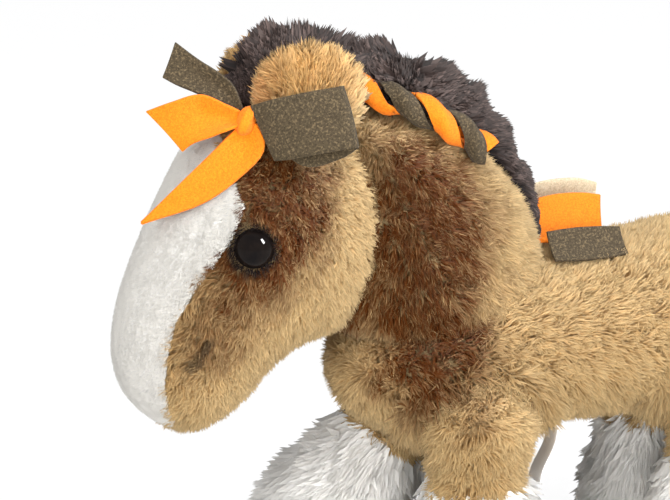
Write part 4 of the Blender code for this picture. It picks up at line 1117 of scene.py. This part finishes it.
class HORSE_OT_mane(bpy.types.Operator):
    """Mane, forelock and tail: long dark hair on dark cores."""
    bl_idname = "horse.mane"
    bl_label = "Mane, forelock and tail"

    def execute(self, context):
        """Builds the long hair."""
        self.mane()
        self.forelock()
        self.tail()
        return {"FINISHED"}

    def hair(self, name, body, points, normals, comb, lengths, seed, **more):
        """Long hair from roots on a core."""
        root, tip = mane_colours(len(points), np.random.default_rng(seed))
        strands(name, body, "dark_mane", points, normals, comb, lengths, sizes().mane_strand,
                root_colour=root, tip_colour=tip, seed=seed, fleck=0.34, soft_share=0.9, **more)

    def core(self, name, body, grid, node):
        """The dark core under long hair."""
        piece = closed_shell(name, grid, body, "dark_mane")
        piece.data.materials.append(hide_material("hide_mane", colours()["mane"] * 1.4))
        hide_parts(node)

    def crest(self, share):
        """The mane's foot at shares of its own table: the neck's back, the way the mane stands
        there, its height and its half-width.

        That way is the neck's normal, tilted towards upright by the table's share.
        """
        row = curve(MANE_RINGS, share)
        middle, normal = neck_back(row[:, 0])
        tilt = np.clip(row[:, 1:2], 0, 1)
        outward = unit(normal * (1 - tilt) + Z * tilt)
        height, width = np.maximum(row[:, 2], 0) * MANE_HEIGHT, np.maximum(row[:, 3], 0) * MANE_WIDTH
        return middle, outward, height, width

    def mane(self):
        """A ridge of hair from the poll to the withers."""
        s = np.linspace(0, 1, 44)
        middle, outward, height, width = self.crest(s)
        a = np.linspace(0, 2 * np.pi, 24, endpoint=False)
        up = np.where(np.cos(a) > 0, np.cos(a)[None, :] * height[:, None] * 0.50, np.cos(a)[None, :] * 0.004)
        grid = (middle[:, None] + up[..., None] * outward[:, None]
                - (np.sin(a)[None, :] * width[:, None] * MANE_ROOTS_WIDE)[..., None] * Y)
        ends = self.crest(np.array(MANE_BLEND))[0]
        bodies = ("torso", "head", tuple(ends[1].tolist()), tuple(ends[0].tolist()))
        self.core("mane_core", bodies, grid, "mane")
        rng, count = np.random.default_rng(51), MANE_STRANDS
        s = 0.01 + 0.97 * rng.random(count)
        middle, outward, height, width = self.crest(s)
        fan = rng.uniform(-1, 1, count)
        points = (middle + Y * (fan * width * MANE_ROOTS_WIDE)[:, None]
                  + outward * (height * 0.25 * (1 - fan**2))[:, None])
        normals = unit(outward + Y * (fan * 0.75)[:, None] + X * 0.10)
        poll = smoothstep(0.10, 0.36, s)
        comb = unit(Y * fan[:, None] + X * (poll * 2.6 - 1.8)[:, None] - Z * (poll * 0.55)[:, None])
        lengths = height * (0.84 - 0.26 * np.abs(fan)) * rng.uniform(0.75, 1.15, count) + 0.0035
        lengths = lengths * (1.75 - 0.75 * smoothstep(0.03, 0.16, s))
        self.hair("mane_hair", bodies, points, normals, comb, lengths, 52, lift=0.66, clump=0.006,
                  gather=0.50, frizz=0.22)

    def forelock(self):
        """The tuft between the ears."""
        rng, count = np.random.default_rng(61), FORELOCK_STRANDS
        degrees = rng.uniform(*FORELOCK_SPAN, count)
        angle = np.radians(degrees)
        fan = rng.uniform(-1, 1, count)
        outward = np.column_stack([np.cos(angle), np.zeros(count), np.sin(angle)])
        base = (FORELOCK_RADIUS - 0.004 * fan**2)[:, None]
        points = NOD + STAND + outward * base + Y * (fan * 0.0078)[:, None]
        normals = unit(outward + Y * (fan * 0.45)[:, None])
        forward = np.interp(degrees, *np.transpose(FORELOCK_COMB))
        comb = unit(Y * (fan * 0.5)[:, None] - X * forward[:, None] + Z * 0.6)
        lengths = (np.interp(degrees, *np.transpose(FORELOCK_LENGTHS))
                   * (1 - 0.34 * rng.random(count) ** 1.5) * (1 - 0.35 * fan**2))
        self.hair("forelock_hair", "head", points, normals, comb, lengths, 62, lift=0.78, clump=0.0065,
                  gather=0.70, frizz=0.20)
        a, rings = np.linspace(0, 2 * np.pi, 20, endpoint=False), 14
        turn = np.radians(np.linspace(*FORELOCK_HIDE_SPAN, rings))
        bulge = np.sqrt(np.maximum(np.sin(np.linspace(0, np.pi, rings)), 0))
        outward = np.column_stack([np.cos(turn), np.zeros(rings), np.sin(turn)])
        up = np.where(np.cos(a) > 0, np.cos(a) * 0.010, np.cos(a) * 0.003)
        grid = (NOD + STAND + outward[:, None] * (FORELOCK_RADIUS + up[None, :] * bulge[:, None])[..., None]
                - (np.sin(a)[None, :] * bulge[:, None] * 0.0075)[..., None] * Y)
        self.core("forelock_core", "head", grid, "forelock")

    def tail(self):
        """A plume that arches out and hangs."""
        steps = np.linspace(0, 1, 48)
        row = curve(TAIL_RINGS, steps)
        drift = np.gradient(row[:, :2], axis=0)
        path = TAIL_ROOT + STAND + row[:, :1] * X - row[:, 1:2] * Z
        ahead = unit(np.gradient(path, axis=0))
        fore = np.cross(ahead, Y)
        a = np.linspace(0, 2 * np.pi, 24, endpoint=False)
        grid = (path[:, None] + (np.cos(a)[None, :] * row[:, 2:3] * 0.62)[..., None] * fore[:, None]
                + (np.sin(a)[None, :] * row[:, 3:4] * 0.62)[..., None] * Y)
        self.core("tail_core", "tail", grid[:44], "tail")
        rng, count = np.random.default_rng(71), TAIL_STRANDS
        s = rng.random(count) * 0.90 + 0.04
        row = curve(TAIL_RINGS, s)
        path = TAIL_ROOT + STAND + row[:, :1] * X - row[:, 1:2] * Z
        out, down = (np.interp(s, steps, drift[:, k]) for k in (0, 1))
        ahead = unit(np.column_stack([out, np.zeros(count), -down]))
        angle = rng.random(count) * 2 * np.pi
        fore = np.cross(ahead, Y)
        normals = unit(np.cos(angle)[:, None] * fore + np.sin(angle)[:, None] * Y)
        points = (path + (np.cos(angle) * row[:, 2] * 0.60)[:, None] * fore
                  + (np.sin(angle) * row[:, 3] * 0.60)[:, None] * Y)
        lengths = np.minimum(0.016, 0.006 + (1 - s) * 0.03)
        self.hair("tail_hair", "tail", points, normals, ahead, lengths, 72, lift=0.22, clump=0.006,
                  gather=0.5, frizz=0.12, floor=0.012)


class HORSE_OT_legs(bpy.types.Operator):
    """Legs: padded hides, tan fur, long white foot hair and soles."""
    bl_idname = "horse.legs"
    bl_label = "Legs"

    def execute(self, context):
        """Builds four legs."""
        tone, size = colours(), sizes()
        for k, name in enumerate(LEGS):
            form, side = LEG_FORMS[name], LEGS[name][1]
            nodes = (name + "_skin", name + "_foot", name + "_stuffing")
            hide(name + "_hide", name, form, nodes, "tan_plush", tone["tan"], size.pile * 0.66, 40, 32)

            def down(points, form=form):
                """Straight down the leg."""
                return np.tile(form.axis, (len(points), 1))

            def shank_keep(points, s, a, form=form, side=side):
                """Above the foot, and not buried in the torso."""
                along = (points - form.start - STAND) @ form.axis
                buried = (TORSO.depth(points) > 0.16) & (points[:, 1] * side < HIP_SIDE)
                return (along < SHANK_END + 0.002) & ~buried

            body_fur(name + "_fur", name, form, LEG_AREA, down, 80 + k, shank_keep,
                     density=1.3 if k < 2 else 0.8)
            rng = np.random.default_rng(90 + k)
            s, a = form.scatter(strand_count(LEG_AREA, size.density * 1.25), rng)
            points, normals = form.at(s, a), form.normal(s, a)
            along = (points - form.start - STAND) @ form.axis
            low = (along > SHANK_END - 0.001) & (along < FOOT_END - 0.003)
            points, normals, along = points[low], normals[low], along[low]
            lengths = np.minimum(size.foot_pile, (FOOT_END + 0.004 - along) * 1.15 + 0.002)
            white = np.tile(tone["white"], (len(points), 1))
            strands(name + "_feather", name, "white_plush", points - normals * 0.0052, normals,
                    down(points), lengths, size.strand * 1.05, 0.40, white * 0.94, white, 95 + k,
                    clump=0.0042, gather=0.34, frizz=0.24, fleck=0.03, soft_share=0.2)
            sole = frame["nodes"][name + "_sole"]
            sole.data.materials.clear()
            sole.data.materials.append(plain_material("sole_cloth", ink(150, 118, 84), 0.0009, 0.95, 0.0003))
        return {"FINISHED"}


def bow_knot():
    """The knot's middle: the CAD knot's, moved a little towards the ear and up."""
    low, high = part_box("bow_knot")
    return (np.array(low) + np.array(high)) / 2 + BOW_ACROSS * KNOT_ACROSS + BOW_UP * KNOT_UP


def ribbon(name, body, slot, first, second, sag, material, node, held, columns=9, felt_share=1.0):
    """A felt ribbon between two edge lines, sagging between them.

    The point at share t across, from -1 to 1, is the middle plus t times half the way between the
    edges, less the face's normal times the sag times one minus t squared.
    """
    t = np.linspace(-1, 1, columns)[None, :, None]
    middle, half = (first + second) / 2, (second - first) / 2
    face = unit(np.cross(np.gradient(middle, axis=0), half))
    sag = np.broadcast_to(sag, len(middle))[:, None, None]
    grid = middle[:, None] + half[:, None] * t - face[:, None] * sag * (1 - t**2)
    rows = len(middle)
    piece = new_mesh(name, grid, grid_faces(rows, columns, wrap=False).tolist(), body, slot)
    u, v = np.meshgrid(np.linspace(0, 1, rows), np.linspace(0, 1, columns), indexing="ij")
    layer = piece.data.uv_layers.new(name="RibbonUV")
    index = np.zeros(len(piece.data.loops), int)
    piece.data.loops.foreach_get("vertex_index", index)
    layer.data.foreach_set("uv", np.column_stack([u.ravel(), v.ravel()])[index].ravel())
    thickness = sizes().felt * felt_share
    solid = piece.modifiers.new("felt", "SOLIDIFY")
    solid.thickness, solid.offset = thickness, 0
    bevel = piece.modifiers.new("soft_edge", "BEVEL")
    bevel.width, bevel.segments, bevel.limit_method = thickness * 0.2, 2, "ANGLE"
    piece.data.materials.append(material)
    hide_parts(node)


def felt(colour):
    """The felt of one colour."""
    tone = colours()
    orange, olive = tone["orange"], tone["olive"]
    felts = {
        "orange": (orange * (0.84, 0.70, 0.60), orange * (1.06, 1.12, 1.2), orange * (1.06, 1.3, 2.0), 0.25),
        "olive": (olive * 0.40, olive * 1.02, olive * 2.1, 0.75),
        "pale": (ink(190, 172, 140), ink(226, 210, 180), ink(236, 226, 204), 0.40),
    }
    return felt_material(colour + "_felt", *felts[colour])


class HORSE_OT_bow(bpy.types.Operator):
    """Bow: knot, three tails and the loop by the ear."""
    bl_idname = "horse.bow"
    bl_label = "Bow"

    def execute(self, context):
        """Builds the bow."""
        knot = bow_knot()

        def spot(rows):
            """Places across, up and out of the bow's plane, in millimetres, in the row frame."""
            rows = np.array(rows) / 1000
            return knot + rows[:, :1] * BOW_ACROSS + rows[:, 1:2] * BOW_UP + rows[:, 2:3] * BOW_OUT

        for name, (colour, node, held, first, second, sag) in BOW_RIBBONS.items():
            s = np.linspace(0, 1, 60 if held == "folded" else 34)
            depth = np.interp(s, np.linspace(0, 1, len(sag)), sag) / 1000
            ribbon(name, "head", colour + "_felt", curve(spot(first), s), curve(spot(second), s), depth,
                   felt(colour), node, held)
        self.knot(knot)
        return {"FINISHED"}

    def knot(self, knot):
        """The knot: a rounded band whose surface is pleated along its length.

        The point at height share h and angle a lies on an oval of the knot's half-width and
        half-depth, drawn in towards both ends and waved by small pleats round it.
        """
        h = np.linspace(-1, 1, 25)
        a = np.linspace(0, 2 * np.pi, 48, endpoint=False)
        h, a = np.meshgrid(h, a, indexing="ij")
        waist = np.sqrt(np.maximum(1 - np.abs(h) ** 3.0, 0)) * (1 + 0.05 * np.sin(a * 7 + 2 * h))
        grid = (knot + (h * KNOT_HIGH)[..., None] * (BOW_UP + 0.25 * BOW_ACROSS)
                + (waist * np.cos(a) * KNOT_WIDE)[..., None] * BOW_ACROSS
                + (waist * np.sin(a) * KNOT_DEEP + KNOT_OUT)[..., None] * BOW_OUT)
        piece = closed_shell("bow_knot_felt", grid, "head", "orange_felt")
        piece.data.materials.append(felt("orange"))
        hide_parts("bow_knot")


class HORSE_OT_garland(bpy.types.Operator):
    """Garland: two felt ribbons twisted together along the mane's foot, and the withers ribbons."""
    bl_idname = "horse.garland"
    bl_label = "Garland and withers ribbons"

    def execute(self, context):
        """Builds the garland and the ribbon ends on the back."""
        route = curve(GARLAND_ROUTE, np.linspace(0, 1, 120))
        rows = sized(NECK_RINGS, NECK_SIZES)
        s = np.interp(route[:, 0] * NECK_SIZES[0], rows[:, 0], np.linspace(0, 1, len(rows)))
        a = route[:, 1] * np.pi
        surface, normal = NECK.at(s, a), NECK.normal(s, a)
        if surface[0, 1] > 0:
            surface, normal = surface * (1, -1, 1), normal * (1, -1, 1)
        middle = surface + normal * GARLAND_LIFT + Z * np.linspace(*GARLAND_RISE, len(s))[:, None]
        ahead = unit(np.gradient(middle, axis=0))
        across = unit(np.cross(ahead, normal))
        for name, node, colour, phase in (("garland_bright", "garland_orange", "orange", 0.0),
                                          ("garland_dark", "garland_olive", "olive", math.pi)):
            angle = phase + GARLAND_TURNS * 2 * math.pi * np.linspace(0, 1, len(middle))
            radial = normal * np.cos(angle)[:, None] + across * np.sin(angle)[:, None]
            line = middle + radial * GARLAND_TWIST_RADIUS
            half = np.cross(unit(np.gradient(line, axis=0)), radial) * GARLAND_HALF
            ribbon(name, "torso", colour + "_felt", line - half, line + half, GARLAND_SAG, felt(colour), node,
                   "gathered")
        for name, (node, colour, low, high) in WITHERS.items():
            box_low, box_high = (np.array(v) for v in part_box(node))
            foot, top = (curve(box_low + (box_high - box_low) * np.array(edge), np.linspace(0, 1, 20))
                         for edge in (low, high))
            ribbon(name, "torso", colour + "_felt", foot, top, 0.0008, felt(colour), node, "laid")
        return {"FINISHED"}


class HORSE_OT_label(bpy.types.Operator):
    """Care label: a bare folded satin strip."""
    bl_idname = "horse.label"
    bl_label = "Care label"

    def execute(self, context):
        """Builds the label between its CAD node's ends."""
        low, high = (np.array(v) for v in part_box("care_label"))
        s = np.linspace(0, 1, 24)
        middle = (low + high) / 2
        back = high[0] - (high[0] - low[0]) * (0.06 + 0.88 * s) + LABEL_WAVE * np.sin(s * 5.5)
        up = high[2] - (high[2] - low[2]) * (0.01 + 0.97 * s)
        line = np.column_stack([back, np.full(len(s), middle[1]), up])
        half = (np.tile(Y, (len(s), 1)) + X * (0.12 * np.sin(s * 3.1))[:, None]) * LABEL_HALF
        ribbon("care_label_satin", "care_label", "label_satin", line - half, line + half, 0.0003,
               satin_material("label_satin", ink(250, 250, 250)), "care_label", "hung",
               columns=7, felt_share=0.45)
        return {"FINISHED"}


class HORSE_OT_stage(bpy.types.Operator):
    """Stage: pale floor and backdrop, soft lamps and the camera at the photograph's angle."""
    bl_idname = "horse.stage"
    bl_label = "Stage and camera"

    def execute(self, context):
        """Builds the stage."""
        scene = context.scene
        scene.view_settings.view_transform = "Standard"
        bend = np.linspace(0.1, np.pi / 2, 14)
        foot = FLOOR_REACH - WALL_BEND
        t = np.concatenate([np.linspace(-FLOOR_REACH, foot, 12), foot + WALL_BEND * np.sin(bend),
                            np.full(6, FLOOR_REACH)])
        lift = np.concatenate([np.zeros(12), WALL_BEND * (1 - np.cos(bend)),
                               np.linspace(WALL_BEND + 0.1, WALL_TOP, 6)])
        across = np.linspace(-FLOOR_REACH, FLOOR_REACH, 9)
        ahead, right = np.array([0.375, 0.927, 0]), np.array([0.927, -0.375, 0])
        grid = (t[:, None, None] * ahead + lift[:, None, None] * Z + across[None, :, None] * right)
        mesh = bpy.data.meshes.new("studio_floor")
        faces = grid_faces(len(t), len(across), wrap=False)[:, ::-1]
        mesh.from_pydata(grid.reshape(-1, 3).tolist(), [], faces.tolist())
        mesh.shade_smooth()
        floor = bpy.data.objects.new("studio_floor", mesh)
        scene.collection.objects.link(floor)
        floor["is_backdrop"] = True
        finish = Finish("studio_paper")
        finish.set(Base_Color=(0.80, 0.80, 0.80, 1), Roughness=0.9)
        path, gloss, glass = (finish.node("ShaderNodeLightPath", output=ray)
                              for ray in ("Is Camera Ray", "Is Glossy Ray", "Is Transmission Ray"))
        white = finish.node("ShaderNodeEmission", {}, {"Color": (1, 1, 1, 1), "Strength": 1.05})
        glow = finish.node("ShaderNodeMixShader", {}, {0: (path + gloss + glass) * 0.86})
        mixer = glow.output.node
        finish.tree.links.new(finish.shader.outputs[0], mixer.inputs[1])
        finish.tree.links.new(white.output, mixer.inputs[2])
        finish.tree.links.new(mixer.outputs[0], finish.tree.nodes["Material Output"].inputs["Surface"])
        floor.data.materials.append(finish.material)
        self.world(scene)
        for name, (place, target, size, power) in LAMPS.items():
            self.lamp(name, place, target, size, power, glint=name == "eye_glint")
        self.camera(scene)
        return {"FINISHED"}

    def world(self, scene):
        """An even pale sky."""
        world = bpy.data.worlds.new("studio_sky")
        scene.world = world
        world.use_nodes = True
        sky = world.node_tree.nodes["Background"]
        sky.inputs["Color"].default_value = (0.95, 0.97, 1.0, 1)
        sky.inputs["Strength"].default_value = 0.66

    def lamp(self, name, place, target, size, power, glint):
        """A rectangular soft lamp that looks at a target; only a glint's own lamp shows in gloss."""
        data = bpy.data.lights.new(name, "AREA")
        data.shape, data.size, data.size_y, data.energy = "RECTANGLE", size[0], size[1], power
        thing = bpy.data.objects.new(name, data)
        bpy.context.scene.collection.objects.link(thing)
        thing.visible_glossy, thing.visible_diffuse = glint, not glint
        aim(thing, np.array(place), np.array(target))

    def camera(self, scene):
        """A long lens at 22 degrees round and 15 degrees up, on the middle of the photograph."""
        data = bpy.data.cameras.new("camera")
        distance = sizes().camera_distance
        data.sensor_width = SENSOR_WIDTH
        data.lens = SENSOR_WIDTH * distance / PHOTO_WIDTH
        data.clip_end = 20
        thing = bpy.data.objects.new("camera", data)
        scene.collection.objects.link(thing)
        aim(thing, LOOK_AT + TO_CAMERA * distance, LOOK_AT)
        scene.camera = thing


def aim(thing, place, target):
    """Puts a camera or lamp at a place, looking at a target with Z up."""
    back = unit(place - target)
    right = unit(np.cross(Z, back))
    up = np.cross(back, right)
    matrix = np.eye(4)
    matrix[:3, 0], matrix[:3, 1], matrix[:3, 2], matrix[:3, 3] = right, up, back, place
    thing.matrix_world = Matrix(matrix.tolist())


OPERATORS = (HORSE_OT_torso, HORSE_OT_head, HORSE_OT_eyes, HORSE_OT_ears, HORSE_OT_mane, HORSE_OT_legs,
             HORSE_OT_bow, HORSE_OT_garland, HORSE_OT_label, HORSE_OT_stage)


class HORSE_PT_panel(bpy.types.Panel):
    """Lists the horse's operators and settings."""
    bl_idname = "HORSE_PT_panel"
    bl_label = "Plush Horse"
    bl_space_type = "VIEW_3D"
    bl_region_type = "UI"
    bl_category = "Plush Horse"

    def draw(self, context):
        """Draws the sizes, the colours and a button for each operator."""
        for group in (context.scene.horse_sizes, context.scene.horse_colours):
            for key in type(group).__annotations__:
                self.layout.prop(group, key)
        for operator in OPERATORS:
            self.layout.operator(operator.bl_idname)


CLASSES = (HorseSizes, HorseColours) + OPERATORS + (HORSE_PT_panel,)


def register():
    """Registers the classes and hangs the settings on the scene."""
    for made in CLASSES:
        bpy.utils.register_class(made)
    bpy.types.Scene.horse_sizes = bpy.props.PointerProperty(type=HorseSizes)
    bpy.types.Scene.horse_colours = bpy.props.PointerProperty(type=HorseColours)


def unregister():
    """Takes the settings and the classes away."""
    del bpy.types.Scene.horse_sizes
    del bpy.types.Scene.horse_colours
    for made in reversed(CLASSES):
        bpy.utils.unregister_class(made)


def main():
    """Builds the horse and its stage."""
    register()
    for operator in OPERATORS:
        group, name = operator.bl_idname.split(".")
        getattr(getattr(bpy.ops, group), name)()
    plain = [[list(map(float, corner)) for corner in box] for box in (CAD_BOX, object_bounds())]


if __name__ == "__main__":
    main()
